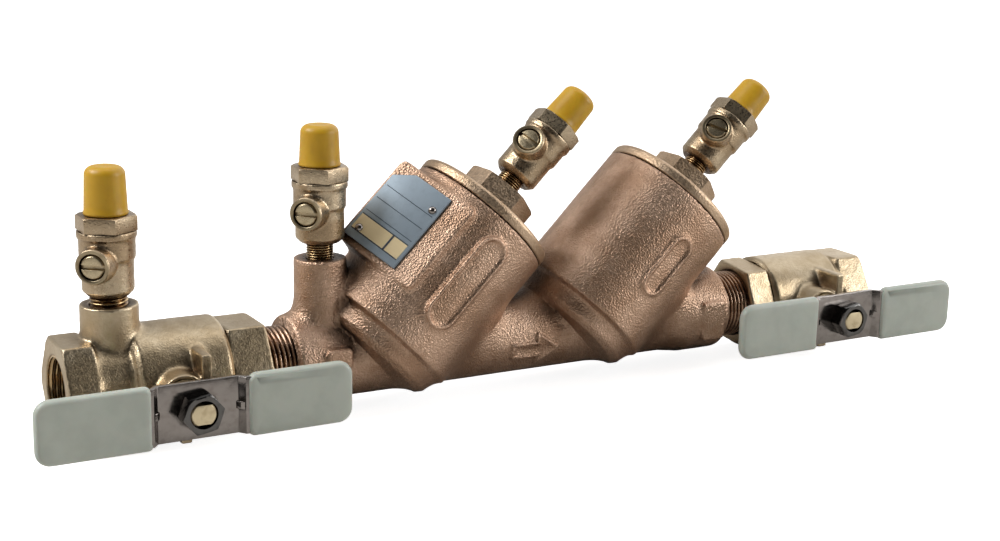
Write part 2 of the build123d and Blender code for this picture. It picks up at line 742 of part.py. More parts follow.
for valve in (inlet, outlet):
    stem = valve.stem_frame

    with BuildPart() as valve_end:
        end_hex = (valve.end_face, valve.joint)
        add(hexagon(valve.frame, valve.flats, *end_hex, valve.end_turn, 1.2, cut_start=True))
        rod(valve.frame, valve.spigot_r, valve.joint, -SPIGOT_END)
        socket_floor = valve.end_face + MALE_ENGAGEMENT + 0.7
        rod(valve.frame, PIPE_SOCKET_R, valve.end_face, socket_floor, Mode.SUBTRACT)
        rod(valve.frame, BALL_BORE_R, socket_floor, -SEAT_BACK, Mode.SUBTRACT)
        rod(valve.frame, SEAT_POCKET_R, -SEAT_BACK, 0, Mode.SUBTRACT)
    save(valve_end.part, f"{valve.name}_valve_end")

    with BuildPart() as valve_body:
        turned(
            valve.frame,
            [
                (0, valve.joint + 0.1),
                (valve.barrel_r - 1.6, valve.joint + 0.1),
                (valve.barrel_r, valve.joint + 1.7),
                (valve.barrel_r, valve.barrel_end - 1.7),
                (valve.barrel_r - 1.7, valve.barrel_end),
                (valve.neck_r, valve.barrel_end),
                (valve.neck_r, valve.hex_start),
                (0, valve.hex_start),
            ],
        )
        add(hexagon(valve.frame, valve.flats, valve.hex_start, valve.face, 0, 1.4, True))
        rod(stem, STEM_BOSS_R, 0, STEM_BOSS_FACE)
        block(stem, *UPPER_LUG, (8.0, STEM_BOSS_FACE))
        block(stem, *LOWER_LUG, (6.0, STEM_BOSS_FACE))
        if valve is inlet:
            rod(Plane((COCK_1_X, 0, 0)), BOSS_1_R, 0, BOSS_1_TOP)
        rod(valve.frame, valve.spigot_r + 0.1, valve.joint, -SEAT_FRONT, Mode.SUBTRACT)
        rod(valve.frame, CAVITY_R, -SEAT_FRONT, SEAT_FRONT + 0.6, Mode.SUBTRACT)
        rod(valve.frame, SEAT_POCKET_R, 0, SEAT_BACK, Mode.SUBTRACT)
        rod(valve.frame, BALL_BORE_R, SEAT_BACK, valve.face, Mode.SUBTRACT)
        rod(valve.frame, PORT_THREAD_R, valve.face - PORT_THREAD_LENGTH, valve.face, Mode.SUBTRACT)
        rod(stem, STEM_R + GUIDE_CLEARANCE, 0, STEM_BOSS_FACE, Mode.SUBTRACT)
        rod(stem, STEM_COLLAR_R + 0.1, 0, STEM_WASHER_END + 0.1, Mode.SUBTRACT)
        rod(stem, GLAND_BOX_R, GLAND_BOX_FLOOR, STEM_BOSS_FACE, Mode.SUBTRACT)
        if valve is inlet:
            rod(Plane((COCK_1_X, 0, 0)), 6.75, 17.0, BOSS_1_TOP, Mode.SUBTRACT)
            rod(Plane((COCK_1_X, 0, 0)), 3.0, 5.0, BOSS_1_TOP, Mode.SUBTRACT)
    save(valve_body.part, f"{valve.name}_valve_body")

    with BuildPart() as ball_seats:
        for side in (-1, 1):
            seat_frame = Plane(valve.frame.origin, x_dir=(0, 1, 0), z_dir=valve.frame.z_dir * side)
            turned(
                seat_frame,
                [
                    (BALL_BORE_R + 0.1, SEAT_FRONT + 0.4),
                    (SEAT_POCKET_R - 0.1, SEAT_FRONT + 0.4),
                    (SEAT_POCKET_R - 0.1, SEAT_BACK),
                    (BALL_BORE_R + 0.1, SEAT_BACK),
                ],
            )
        ball(valve.frame, BALL_R + BALL_CLEARANCE, 0, Mode.SUBTRACT)
    save(ball_seats.part, f"{valve.name}_ball_seats")

    with BuildPart() as valve_ball:
        ball(valve.frame, BALL_R, 0)
        rod(valve.frame, BALL_BORE_R, -20, 20, Mode.SUBTRACT)
        block(stem, (-2.1, 2.1), (-20, 20), (10.3, 16), Mode.SUBTRACT)
    save(valve_ball.part, f"{valve.name}_ball")

    with BuildPart() as valve_stem:
        block(stem, (-2.0, 2.0), (-4.2, 4.2), (10.4, 15.0))
        turned(
            stem,
            [
                (0, STEM_COLLAR_START),
                (STEM_COLLAR_R, STEM_COLLAR_START),
                (STEM_COLLAR_R, STEM_COLLAR_END),
                (STEM_R, STEM_COLLAR_END),
                (STEM_R, STEM_END - 0.7),
                (STEM_R - 0.7, STEM_END),
                (0, STEM_END),
            ],
        )
        for side in (-1, 1):
            flat = sorted((side * STEM_FLAT, side * 8))
            block(stem, (-8, 8), flat, (PLATE_FACE - PLATE_THICKNESS, STEM_END + 1), Mode.SUBTRACT)
    save(valve_stem.part, f"{valve.name}_stem")

    with BuildPart() as stem_packing:
        turned(
            stem,
            [
                (STEM_R + GUIDE_CLEARANCE, STEM_COLLAR_END + 0.1),
                (STEM_COLLAR_R, STEM_COLLAR_END + 0.1),
                (STEM_COLLAR_R, STEM_WASHER_END),
                (STEM_R + GUIDE_CLEARANCE, STEM_WASHER_END),
            ],
        )
        for layer in range(2):
            layer_start = GLAND_BOX_FLOOR + layer * 2.1
            turned(
                stem,
                [
                    (STEM_R + GUIDE_CLEARANCE, layer_start),
                    (GLAND_BOX_R - 0.05, layer_start),
                    (GLAND_BOX_R - 0.05, layer_start + 1.0),
                    (STEM_R + GUIDE_CLEARANCE, layer_start + 2.0),
                ],
            )
    save(stem_packing.part, f"{valve.name}_stem_packing")

    with BuildPart() as gland_nut:
        add(hexagon(stem, GLAND_HEX_FLATS, STEM_BOSS_FACE + 0.2, GLAND_FACE, 15, 0.7))
        rod(stem, GLAND_BOX_R - 0.1, PACKING_END + 0.2, STEM_BOSS_FACE + 0.2)
        rod(stem, STEM_R + GUIDE_CLEARANCE, PACKING_END, GLAND_FACE, Mode.SUBTRACT)
    save(gland_nut.part, f"{valve.name}_gland_nut")

    # Lever: a stainless strip, joggled forward at both ends of its centre.
    with BuildPart() as lever:
        with BuildSketch(Plane.XY.offset(-LEVER_HALF_HEIGHT)) as strip:
            with BuildLine():
                Polyline(*lever_strip(stem.origin.X), close=True)
            make_face()
        extrude(strip.sketch, amount=2 * LEVER_HALF_HEIGHT)
        with BuildSketch(Plane.XZ.offset(PLATE_FACE - 8)) as lever_outline:
            with Locations((stem.origin.X, 0)):
                RectangleRounded(2 * LEVER_HALF_LENGTH, 2 * LEVER_HALF_HEIGHT, 5)
        extrude(lever_outline.sketch, amount=16, mode=Mode.INTERSECT)
        for side in (-1, 1):
            gusset = [(side * x + stem.origin.X, y) for x, y in GUSSET]
            with BuildSketch(Plane.XY.offset(-1.3)) as gusset_section:
                with BuildLine():
                    Polyline(*gusset, close=True)
                make_face()
            extrude(gusset_section.sketch, amount=2.6)
        block(stem, *STOP_TAB, (STOP_TAB_END, PLATE_FACE - PLATE_THICKNESS + 0.5))
        with BuildSketch(stem.offset(PLATE_FACE - 4)) as d_hole:
            Circle(STEM_R + 0.05)
            Rectangle(12, 2 * STEM_FLAT + 0.1, mode=Mode.INTERSECT)
        extrude(d_hole.sketch, amount=6, mode=Mode.SUBTRACT)
    save(lever.part, f"{valve.name}_lever")

    with BuildPart() as lever_grips:
        for side in (-1, 1):
            middle = side * (GRIP_START + LEVER_HALF_LENGTH + GRIP_COAT) / 2
            grip_length = LEVER_HALF_LENGTH + GRIP_COAT - GRIP_START
            with BuildSketch(stem.offset(WING_FACE - PLATE_THICKNESS - GRIP_COAT)) as grip:
                with Locations((middle, 0)):
                    RectangleRounded(grip_length, 2 * (LEVER_HALF_HEIGHT + GRIP_COAT), 3.5)
            extrude(grip.sketch, amount=PLATE_THICKNESS + 2 * GRIP_COAT)
        fillet(lever_grips.edges().filter_by(GeomType.LINE).filter_by(Axis.X), 0.9)
        add(lever.part, mode=Mode.SUBTRACT)
    save(lever_grips.part, f"{valve.name}_lever_grips")

    with BuildPart() as lever_nut:
        add(hexagon(stem, NUT_FLATS, PLATE_FACE, PLATE_FACE + NUT_HEIGHT, 10, 0.8, True))
        rod(stem, STEM_R + 0.15, PLATE_FACE, PLATE_FACE + NUT_HEIGHT, Mode.SUBTRACT)
    save(lever_nut.part, f"{valve.name}_lever_nut")

# ================= test cocks =================

ball_height = -COCK_STEM_DROP
stem_centres = [frame.origin + frame.z_dir * ball_height for frame in cocks]
cock_stems = [
    Plane(centre, x_dir=frame.x_dir, z_dir=-frame.y_dir)
    for centre, frame in zip(stem_centres, cocks)
]

for number, (frame, stem) in enumerate(zip(cocks, cock_stems), start=1):
    thread_r, thread_depth, thread_pitch, thread_length = COCK_THREADS[number - 1]
    thread_end = -COCK_LENGTH - thread_length
    turned_stem = spun(stem, SLOT_ANGLES[number - 1])

    with BuildPart() as cock_body:
        turned(
            frame,
            [
                (0, -COCK_LENGTH),
                (7.1, -COCK_LENGTH),
                (8.9, -COCK_LENGTH + 1.9),
                (8.9, -15.6),
                (9.6, -14.9),
                (9.6, -8.1),
                (10.2, -7.6),
                (10.2, -COCK_HEX_HEIGHT - 0.15),
                (0, -COCK_HEX_HEIGHT - 0.15),
            ],
        )
        threaded(frame, thread_r, thread_depth, thread_pitch, thread_end, -COCK_LENGTH)
        turned(
            stem,
            [
                (0, 0),
                (6.2, 0),
                (6.2, COCK_STEM_REACH - 0.5),
                (5.7, COCK_STEM_REACH),
                (0, COCK_STEM_REACH),
            ],
        )
        pocket_floor = ball_height - COCK_SEAT_BACK
        rod(frame, COCK_MOUTH_R, COCK_MOUTH_FLOOR, -COCK_HEX_HEIGHT, Mode.SUBTRACT)
        rod(frame, COCK_POCKET_R, pocket_floor, COCK_MOUTH_FLOOR, Mode.SUBTRACT)
        rod(frame, COCK_FLOW_R, thread_end, ball_height, Mode.SUBTRACT)
        rod(stem, COCK_STEM_HOLE_R, 0, COCK_STEM_REACH, Mode.SUBTRACT)
        rod(stem, COCK_HEAD_RECESS_R, COCK_HEAD_START, COCK_STEM_REACH, Mode.SUBTRACT)
    save(cock_body.part, f"test_cock_{number}_body")

    with BuildPart() as cock_end:
        nozzle_shoulder = NOZZLE_LENGTH - NOZZLE_CONE
        add(hexagon(frame, COCK_HEX_FLATS, -COCK_HEX_HEIGHT, 0, 8))
        rod(frame, COCK_MOUTH_R - 0.1, COCK_MOUTH_FLOOR + 0.05, -COCK_HEX_HEIGHT)
        threaded(frame, NOZZLE_R, 0.5, 1.27, 0, nozzle_shoulder)
        turned(
            frame,
            [
                (0, nozzle_shoulder),
                (NOZZLE_R - 0.6, nozzle_shoulder),
                (NOZZLE_R - 2.2, NOZZLE_LENGTH),
                (0, NOZZLE_LENGTH),
            ],
        )
        rod(frame, COCK_FLOW_R, COCK_MOUTH_FLOOR, NOZZLE_LENGTH, Mode.SUBTRACT)
    save(cock_end.part, f"test_cock_{number}_end")

    # The ball is drawn closed: its bore lies across the cock, along the stem's own X axis.
    with BuildPart() as cock_ball:
        across = Plane(stem.origin, x_dir=turned_stem.y_dir, z_dir=turned_stem.x_dir)
        ball(across, COCK_BALL_R, 0)
        rod(across, COCK_BORE_R, -8, 8, Mode.SUBTRACT)
        block(turned_stem, (-0.8, 0.8), (-8, 8), (3.2, 8), Mode.SUBTRACT)
    save(cock_ball.part, f"test_cock_{number}_ball")

    with BuildPart() as cock_stem:
        block(turned_stem, (-0.72, 0.72), (-2.0, 2.0), (3.35, 5.3))
        turned(
            stem,
            [
                (0, 5.1),
                (COCK_STEM_R, 5.1),
                (COCK_STEM_R, 7.5),
                (1.6, 7.5),
                (1.6, 8.6),
                (COCK_STEM_R, 8.6),
                (COCK_STEM_R, COCK_HEAD_START + 0.05),
                (COCK_HEAD_R, COCK_HEAD_START + 0.05),
                (COCK_HEAD_R, COCK_STEM_REACH - 0.7),
                (COCK_HEAD_R - 0.6, COCK_STEM_REACH + 0.1),
                (0, COCK_STEM_REACH + 0.2),
            ],
        )
        block(turned_stem, (-5, 5), (-0.65, 0.65), (COCK_STEM_REACH - 1.4, 16), Mode.SUBTRACT)
    save(cock_stem.part, f"test_cock_{number}_stem")

    cap_length = CAP_LENGTHS[number - 1]
    with BuildPart() as cap:
        with BuildSketch(side_plane(frame)) as cap_profile:
            with BuildLine():
                Polyline(
                    (0, cap_length - 0.35),
                    (0, NOZZLE_LENGTH + 0.3),
                    (NOZZLE_R - 1.0, NOZZLE_LENGTH + 0.3),
                    (NOZZLE_R + 0.25, nozzle_shoulder),
                    (NOZZLE_R + 0.25, 0.1),
                    (CAP_BASE_R, 0.1),
                    (CAP_BASE_R - 0.6, cap_length - 2.6),
                )
                ThreePointArc(
                    (CAP_BASE_R - 0.6, cap_length - 2.6),
                    (CAP_BASE_R - 1.35, cap_length - 0.95),
                    (CAP_BASE_R - 3.1, cap_length),
                )
                Line((CAP_BASE_R - 3.1, cap_length), (0, cap_length - 0.35))
            make_face()
        revolve(cap_profile.sketch, axis=Axis(frame.origin, frame.z_dir))
    save(cap.part, f"test_cock_{number}_cap")

with BuildPart() as cock_seats:
    for frame in cocks:
        ball_centre = frame.offset(ball_height)
        for side in (-1, 1):
            seat_frame = Plane(ball_centre.origin, x_dir=frame.x_dir, z_dir=frame.z_dir * side)
            turned(
                seat_frame,
                [
                    (COCK_FLOW_R + 0.1, COCK_SEAT_FRONT),
                    (COCK_POCKET_R - 0.05, COCK_SEAT_FRONT),
                    (COCK_POCKET_R - 0.05, COCK_SEAT_BACK),
                    (COCK_FLOW_R + 0.1, COCK_SEAT_BACK),
                ],
            )
        ball(ball_centre, COCK_BALL_R + 0.04, 0, Mode.SUBTRACT)
save(cock_seats.part, "test_cock_seats")

with BuildPart() as cock_stem_seals:
    for stem in cock_stems:
        o_ring(stem, 2.05, 0.42, 8.05)
save(cock_stem_seals.part, "test_cock_stem_seals")
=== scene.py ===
import json
from math import cos, pi, radians, sin, tau

import bmesh
import bpy
import numpy as np
from mathutils import Matrix, Vector, noise

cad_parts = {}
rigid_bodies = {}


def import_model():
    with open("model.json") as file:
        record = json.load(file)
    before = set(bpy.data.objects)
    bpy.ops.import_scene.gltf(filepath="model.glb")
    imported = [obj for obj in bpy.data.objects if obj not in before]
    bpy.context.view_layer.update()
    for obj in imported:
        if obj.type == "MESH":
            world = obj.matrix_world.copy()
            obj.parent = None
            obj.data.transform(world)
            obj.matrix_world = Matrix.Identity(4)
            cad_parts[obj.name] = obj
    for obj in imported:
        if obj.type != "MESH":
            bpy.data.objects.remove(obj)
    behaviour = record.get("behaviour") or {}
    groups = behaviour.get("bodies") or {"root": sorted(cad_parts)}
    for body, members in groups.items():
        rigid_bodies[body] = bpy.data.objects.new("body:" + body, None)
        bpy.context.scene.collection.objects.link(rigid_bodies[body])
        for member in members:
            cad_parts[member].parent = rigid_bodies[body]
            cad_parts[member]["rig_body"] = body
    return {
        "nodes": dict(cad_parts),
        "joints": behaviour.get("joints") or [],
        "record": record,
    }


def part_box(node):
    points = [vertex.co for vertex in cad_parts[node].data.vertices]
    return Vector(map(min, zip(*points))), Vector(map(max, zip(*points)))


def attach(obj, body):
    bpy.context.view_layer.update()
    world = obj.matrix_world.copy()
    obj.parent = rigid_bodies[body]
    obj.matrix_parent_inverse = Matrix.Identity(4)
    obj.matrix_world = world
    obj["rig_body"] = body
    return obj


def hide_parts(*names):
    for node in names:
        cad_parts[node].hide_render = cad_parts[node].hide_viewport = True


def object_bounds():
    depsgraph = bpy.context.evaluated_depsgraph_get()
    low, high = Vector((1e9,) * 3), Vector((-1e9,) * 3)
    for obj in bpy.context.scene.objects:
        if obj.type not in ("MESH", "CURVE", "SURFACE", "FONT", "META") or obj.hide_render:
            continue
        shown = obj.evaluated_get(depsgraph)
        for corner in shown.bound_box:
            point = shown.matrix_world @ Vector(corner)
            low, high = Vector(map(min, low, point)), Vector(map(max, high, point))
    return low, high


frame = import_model()
cad_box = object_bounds()

MM = 0.001
nodes = frame["nodes"]
joints = {joint["name"]: joint for joint in frame["joints"]}


# ---------------------------------------------------------------- places in the frame


def box_centre(node):
    """The centre of a CAD node's box, which is on the axis of a round piece."""
    low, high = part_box(node)
    return (low + high) / 2


def frame_of(x, y, z, origin):
    """A matrix with those three axes and that origin."""
    return Matrix(
        (
            (x[0], y[0], z[0], origin[0]),
            (x[1], y[1], z[1], origin[1]),
            (x[2], y[2], z[2], origin[2]),
            (0, 0, 0, 1),
        )
    )


def axis_frame(origin, z_axis, x_hint=(0, 1, 0)):
    """A matrix whose Z axis runs along z_axis and whose X axis is near x_hint."""
    z = Vector(z_axis).normalized()
    x = Vector(x_hint)
    x = (x - z * x.dot(z)).normalized()
    return frame_of(x, z.cross(x), z, origin)


lean = Vector(joints["poppet_1_lift"]["axis"]).normalized()
tower_frames = []
for number in (1, 2):
    on_axis = box_centre(f"poppet_{number}")
    foot = on_axis - lean * (on_axis.z / lean.z)
    tower_frames.append(axis_frame(foot, lean, (1, 0, -1)))

cock_frames = []
for number in range(1, 5):
    ball_centre = Vector(joints[f"test_cock_{number}_turn"]["pos_m"])
    up = Vector(joints[f"cap_{number}_pull"]["axis"])
    cock_frames.append(axis_frame(ball_centre, up, joints[f"test_cock_{number}_turn"]["axis"]))

stem_x = {side: joints[f"{side}_lever_turn"]["pos_m"][0] for side in ("inlet", "outlet")}
pipe_frame = axis_frame((0, 0, 0), (1, 0, 0))

# ---------------------------------------------------------------- materials


class Finish:
    """One procedural material. Its textures read the object's own place in millimetres."""

    def __init__(self, name, metallic, roughness):
        self.material = bpy.data.materials.new(name)
        self.material.use_nodes = True
        self.tree = self.material.node_tree
        self.surface = self.tree.nodes["Principled BSDF"]
        self.surface.inputs["Metallic"].default_value = metallic
        self.surface.inputs["Roughness"].default_value = roughness
        place = self.node("ShaderNodeTexCoord").outputs["Object"]
        scale = self.node("ShaderNodeVectorMath", operation="SCALE")
        self.tree.links.new(place, scale.inputs[0])
        scale.inputs["Scale"].default_value = 1 / MM
        self.place = scale.outputs[0]

    def node(self, kind, **settings):
        made = self.tree.nodes.new(kind)
        for key, value in settings.items():
            setattr(made, key, value)
        return made

    def feed(self, value, socket):
        """Link a socket, or set a plain value."""
        if isinstance(value, bpy.types.NodeSocket):
            self.tree.links.new(value, socket)
        else:
            socket.default_value = value

    def stretched(self, x, y, z):
        """The place with each axis scaled, for brush marks and turning marks."""
        product = self.node("ShaderNodeVectorMath", operation="MULTIPLY")
        self.tree.links.new(self.place, product.inputs[0])
        product.inputs[1].default_value = (x, y, z)
        return product.outputs[0]

    def noise(self, scale, detail=3.0, roughness=0.55, place=None):
        made = self.node("ShaderNodeTexNoise")
        self.feed(place or self.place, made.inputs["Vector"])
        made.inputs["Scale"].default_value = scale
        made.inputs["Detail"].default_value = detail
        made.inputs["Roughness"].default_value = roughness
        return made.outputs["Fac"]

    def cells(self, scale, smoothness=0.6):
        made = self.node("ShaderNodeTexVoronoi", feature="SMOOTH_F1")
        self.feed(self.place, made.inputs["Vector"])
        made.inputs["Scale"].default_value = scale
        made.inputs["Smoothness"].default_value = smoothness
        return made.outputs["Distance"]

    def ramp(self, value, low, high, to_low=0.0, to_high=1.0):
        made = self.node("ShaderNodeMapRange", interpolation_type="SMOOTHSTEP")
        self.feed(value, made.inputs["Value"])
        made.inputs["From Min"].default_value = low
        made.inputs["From Max"].default_value = high
        made.inputs["To Min"].default_value = to_low
        made.inputs["To Max"].default_value = to_high
        return made.outputs["Result"]

    def math(self, operation, a, b):
        made = self.node("ShaderNodeMath", operation=operation)
        self.feed(a, made.inputs[0])
        self.feed(b, made.inputs[1])
        return made.outputs[0]

    def mix(self, factor, a, b):
        made = self.node("ShaderNodeMix", data_type="RGBA")
        self.feed(factor, made.inputs["Factor"])
        self.feed(a, made.inputs["A"])
        self.feed(b, made.inputs["B"])
        return made.outputs["Result"]

    def crevices(self, distance=4.0):
        """1 in open places and towards 0 deep in corners."""
        made = self.node("ShaderNodeAmbientOcclusion", samples=6)
        made.inputs["Distance"].default_value = distance * MM
        return made.outputs["AO"]

    def edges(self, low=0.50, high=0.56):
        """Towards 1 on convex edges."""
        return self.ramp(self.node("ShaderNodeNewGeometry").outputs["Pointiness"], low, high)

    def colour(self, value):
        self.feed(value, self.surface.inputs["Base Color"])

    def roughness(self, value):
        self.feed(value, self.surface.inputs["Roughness"])

    def bump(self, *layers):
        """Each layer is (height, distance in mm), laid over the last."""
        normal = None
        for height, distance in layers:
            made = self.node("ShaderNodeBump")
            made.inputs["Strength"].default_value = 1.0
            made.inputs["Distance"].default_value = distance * MM
            self.feed(height, made.inputs["Height"])
            if normal is not None:
                self.tree.links.new(normal, made.inputs["Normal"])
            normal = made.outputs["Normal"]
        self.tree.links.new(normal, self.surface.inputs["Normal"])


def rgb(red, green, blue):
    """An opaque colour."""
    return (red, green, blue, 1.0)


def cast_metal(name, light, deep, dark, grain, grain_depth, roughness=(0.34, 0.52)):
    """Blasted casting: pebbled skin, patches of two tones, painted shade in corners, painted
    highlights on edges.
    """
    finish = Finish(name, 1.0, 0.42)
    patches = finish.ramp(finish.noise(0.045, 4.0, 0.6), 0.38, 0.62)
    tone = finish.mix(patches, light, deep)
    mottle = finish.ramp(finish.noise(0.55, 3.0), 0.35, 0.7)
    tone = finish.mix(finish.math("MULTIPLY", mottle, 0.35), tone, deep)
    # Painted shade: the dark colour is laid into corners and creases, where shade falls.
    tone = finish.mix(finish.ramp(finish.crevices(9.0), 0.90, 0.42), tone, dark)
    # Painted highlight: convex edges are lightened toward the light colour.
    painted_highlight = finish.math("MULTIPLY", finish.edges(), 0.5)
    finish.colour(finish.mix(painted_highlight, tone, light))
    pebbles = finish.cells(grain)
    grit = finish.noise(grain * 1.9, 2.0)
    finish.roughness(finish.ramp(finish.noise(grain * 0.8), 0.3, 0.7, *roughness))
    finish.bump((pebbles, grain_depth), (grit, grain_depth * 0.5))
    return finish.material


def turned_metal(
    name,
    colour,
    dark,
    roughness,
    marks=(6.0, 6.0, 6.0),
    depth=0.02,
    root_shade=(0.7, 0.2),
    metallic=1.0,
):
    """Machined metal with fine tool marks, slight staining and painted shade in crevices."""
    finish = Finish(name, metallic, roughness)
    stain = finish.ramp(finish.noise(0.35, 4.0), 0.45, 0.75)
    tone = finish.mix(finish.math("MULTIPLY", stain, 0.45), colour, dark)
    # Painted shade: darker in crevices and thread roots, where shade falls.
    tone = finish.mix(finish.ramp(finish.crevices(1.5), *root_shade), tone, dark)
    finish.colour(tone)
    lines = finish.noise(1.0, 2.0, 0.6, finish.stretched(*marks))
    finish.roughness(finish.ramp(lines, 0.3, 0.7, roughness * 0.8, roughness * 1.25))
    finish.bump((lines, depth))
    return finish.material


def moulded(name, colour, shade, roughness, ripple, depth, sheen=0.0, scattering=0.0):
    """Plastic, vinyl or rubber with a faintly uneven skin and painted shade in crevices."""
    finish = Finish(name, 0.0, roughness)
    cloud = finish.ramp(finish.noise(0.12, 3.0), 0.35, 0.7)
    tone = finish.mix(finish.math("MULTIPLY", cloud, 0.5), colour, shade)
    # Painted shade: darker in crevices and corners, where shade falls.
    painted_shade = finish.math("MULTIPLY", finish.ramp(finish.crevices(2.5), 0.7, 0.2), 0.6)
    finish.colour(finish.mix(painted_shade, tone, shade))
    finish.roughness(finish.ramp(finish.noise(1.3), 0.3, 0.7, roughness * 0.85, roughness * 1.2))
    finish.bump((finish.noise(ripple, 2.0), depth), (finish.noise(4.0, 2.0), depth * 0.15))
    finish.surface.inputs["Sheen Weight"].default_value = sheen
    finish.surface.inputs["Subsurface Weight"].default_value = scattering
    finish.surface.inputs["Subsurface Scale"].default_value = 2 * MM
    return finish.material


# The third colour of each casting below is its painted shade in corners and creases.
cast_bronze = cast_metal(
    "cast_bronze",
    rgb(0.68, 0.47, 0.34),
    rgb(0.47, 0.30, 0.20),
    rgb(0.03, 0.018, 0.010),
    grain=1.4,
    grain_depth=0.26,
    roughness=(0.34, 0.50),
)
bonnet_bronze = cast_metal(
    "bonnet_bronze",
    rgb(0.66, 0.49, 0.34),
    rgb(0.48, 0.34, 0.22),
    rgb(0.06, 0.035, 0.02),
    grain=1.3,
    grain_depth=0.14,
)
valve_brass = cast_metal(
    "valve_brass",
    rgb(0.66, 0.55, 0.39),
    rgb(0.50, 0.39, 0.25),
    rgb(0.09, 0.05, 0.025),
    grain=1.6,
    grain_depth=0.07,
    roughness=(0.30, 0.46),
)
cock_brass = cast_metal(
    "cock_brass",
    rgb(0.66, 0.54, 0.38),
    rgb(0.44, 0.32, 0.20),
    rgb(0.07, 0.035, 0.015),
    grain=1.7,
    grain_depth=0.07,
    roughness=(0.25, 0.40),
)
# The second colour of each turned metal below is both its stain and its painted shade in crevices.
thread_bronze = turned_metal(
    "thread_bronze",
    rgb(0.70, 0.48, 0.34),
    rgb(0.10, 0.05, 0.03),
    roughness=0.26,
    marks=(0.6, 9.0, 9.0),
    root_shade=(0.96, 0.50),
)
thread_brass = turned_metal(
    "thread_brass",
    rgb(0.76, 0.56, 0.30),
    rgb(0.14, 0.07, 0.03),
    roughness=0.22,
    root_shade=(0.98, 0.62),
)
turned_brass = turned_metal("turned_brass", rgb(0.78, 0.66, 0.44), rgb(0.35, 0.24, 0.12), 0.28)
boss_brass = turned_metal("boss_brass", rgb(0.42, 0.34, 0.22), rgb(0.16, 0.10, 0.05), 0.34)
screw_brass = turned_metal("screw_brass", rgb(0.60, 0.50, 0.33), rgb(0.22, 0.14, 0.07), 0.30)
stainless = turned_metal(
    "stainless",
    rgb(0.34, 0.31, 0.29),
    rgb(0.17, 0.14, 0.12),
    roughness=0.17,
    marks=(0.25, 5.0, 5.0),
    depth=0.012,
)
plated_nut = turned_metal("plated_nut", rgb(0.15, 0.145, 0.14), rgb(0.05, 0.045, 0.045), 0.12)
chromed = turned_metal("chromed", rgb(0.80, 0.81, 0.83), rgb(0.50, 0.50, 0.52), 0.09)
PRINT_MARKS, PRINT_DEPTH = (0.3, 6.0, 6.0), 0.015
plate_blue = turned_metal(
    "plate_blue",
    rgb(0.36, 0.44, 0.51),
    rgb(0.28, 0.34, 0.40),
    roughness=0.42,
    marks=PRINT_MARKS,
    depth=PRINT_DEPTH,
    metallic=0.35,
)
plate_gold = turned_metal(
    "plate_gold",
    rgb(0.98, 0.80, 0.48),
    rgb(0.90, 0.72, 0.42),
    roughness=0.70,
    marks=PRINT_MARKS,
    depth=PRINT_DEPTH,
    metallic=0.0,
)
plate_ink = moulded("plate_ink", rgb(0.05, 0.07, 0.10), rgb(0.03, 0.04, 0.05), 0.5, 2.0, 0.01)
grip_vinyl = moulded(
    "grip_vinyl",
    rgb(0.56, 0.60, 0.53),
    rgb(0.46, 0.50, 0.44),
    roughness=0.36,
    ripple=0.10,
    depth=0.20,
    sheen=0.05,
    scattering=0.12,
)
cap_plastic = moulded(
    "cap_plastic",
    rgb(0.66, 0.38, 0.020),
    rgb(0.50, 0.27, 0.012),
    roughness=0.38,
    ripple=0.25,
    depth=0.08,
    scattering=0.08,
)
seal_rubber = moulded(
    "seal_rubber", rgb(0.030, 0.030, 0.032), rgb(0.015, 0.015, 0.015), 0.55, 1.5, 0.03
)
white_polymer = moulded(
    "white_polymer", rgb(0.82, 0.82, 0.78), rgb(0.62, 0.62, 0.58), 0.42, 1.0, 0.02
)

SLOT_MATERIALS = {
    "cast_bronze": cast_bronze,
    "valve_brass": valve_brass,
    "cock_brass": cock_brass,
    "turned_brass": turned_brass,
    "chromed_ball": chromed,
    "stainless": stainless,
    "plated_nut": plated_nut,
    "grip_vinyl": grip_vinyl,
    "nameplate_metal": plate_blue,
    "cap_plastic": cap_plastic,
    "seal_rubber": seal_rubber,
    "white_polymer": white_polymer,
}
slot_of = {part["node"]: part["material_slot"] for part in frame["record"]["subparts"]}
for name, cad_object in nodes.items():
    cad_object.data.materials.clear()
    cad_object.data.materials.append(SLOT_MATERIALS[slot_of[name]])

# ---------------------------------------------------------------- mesh tools


def new_piece(name, mesh, material, body, sharp=35.0):
    """Put a finished mesh in the scene as a piece of the object."""
    mesh.materials.clear()
    mesh.materials.append(material)
    mesh.shade_smooth()
    if sharp:
        mesh.set_sharp_from_angle(angle=radians(sharp))
    piece = bpy.data.objects.new(name, mesh)
    bpy.context.scene.collection.objects.link(piece)
    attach(piece, body)
    return piece


def mesh_from(name, points, faces):
    """A mesh of points in metres and faces of point numbers."""
    mesh = bpy.data.meshes.new(name)
    mesh.from_pydata([tuple(p) for p in points], [], faces)
    mesh.update()
    return mesh


def placed(matrix, points):
    """Points of a local frame, in millimetres, as points of the row frame."""
    points = np.asarray(points, float) * MM
    return points @ np.array(matrix.to_3x3()).T + np.array(matrix.translation)


def lathe(name, matrix, outline, segments=72):
    """A closed (radius, height) outline turned about a frame's Z axis."""
    turns = np.linspace(0, tau, segments, endpoint=False)
    points, rings = [], []
    for radius, height in outline:
        if radius < 1e-6:
            rings.append([len(points)])
            points.append((0, 0, height))
        else:
            rings.append(list(range(len(points), len(points) + segments)))
            points += [(radius * cos(a), radius * sin(a), height) for a in turns]
    faces = []
    for ring, after in zip(rings, rings[1:] + rings[:1]):
        if len(ring) == 1 and len(after) == 1:
            continue
        for i in range(segments):
            j = (i + 1) % segments
            near = [ring[i % len(ring)], ring[j % len(ring)]]
            far = [after[j % len(after)], after[i % len(after)]]
            faces.append(list(dict.fromkeys(near + far)))
    return mesh_from(name, placed(matrix, points), faces)


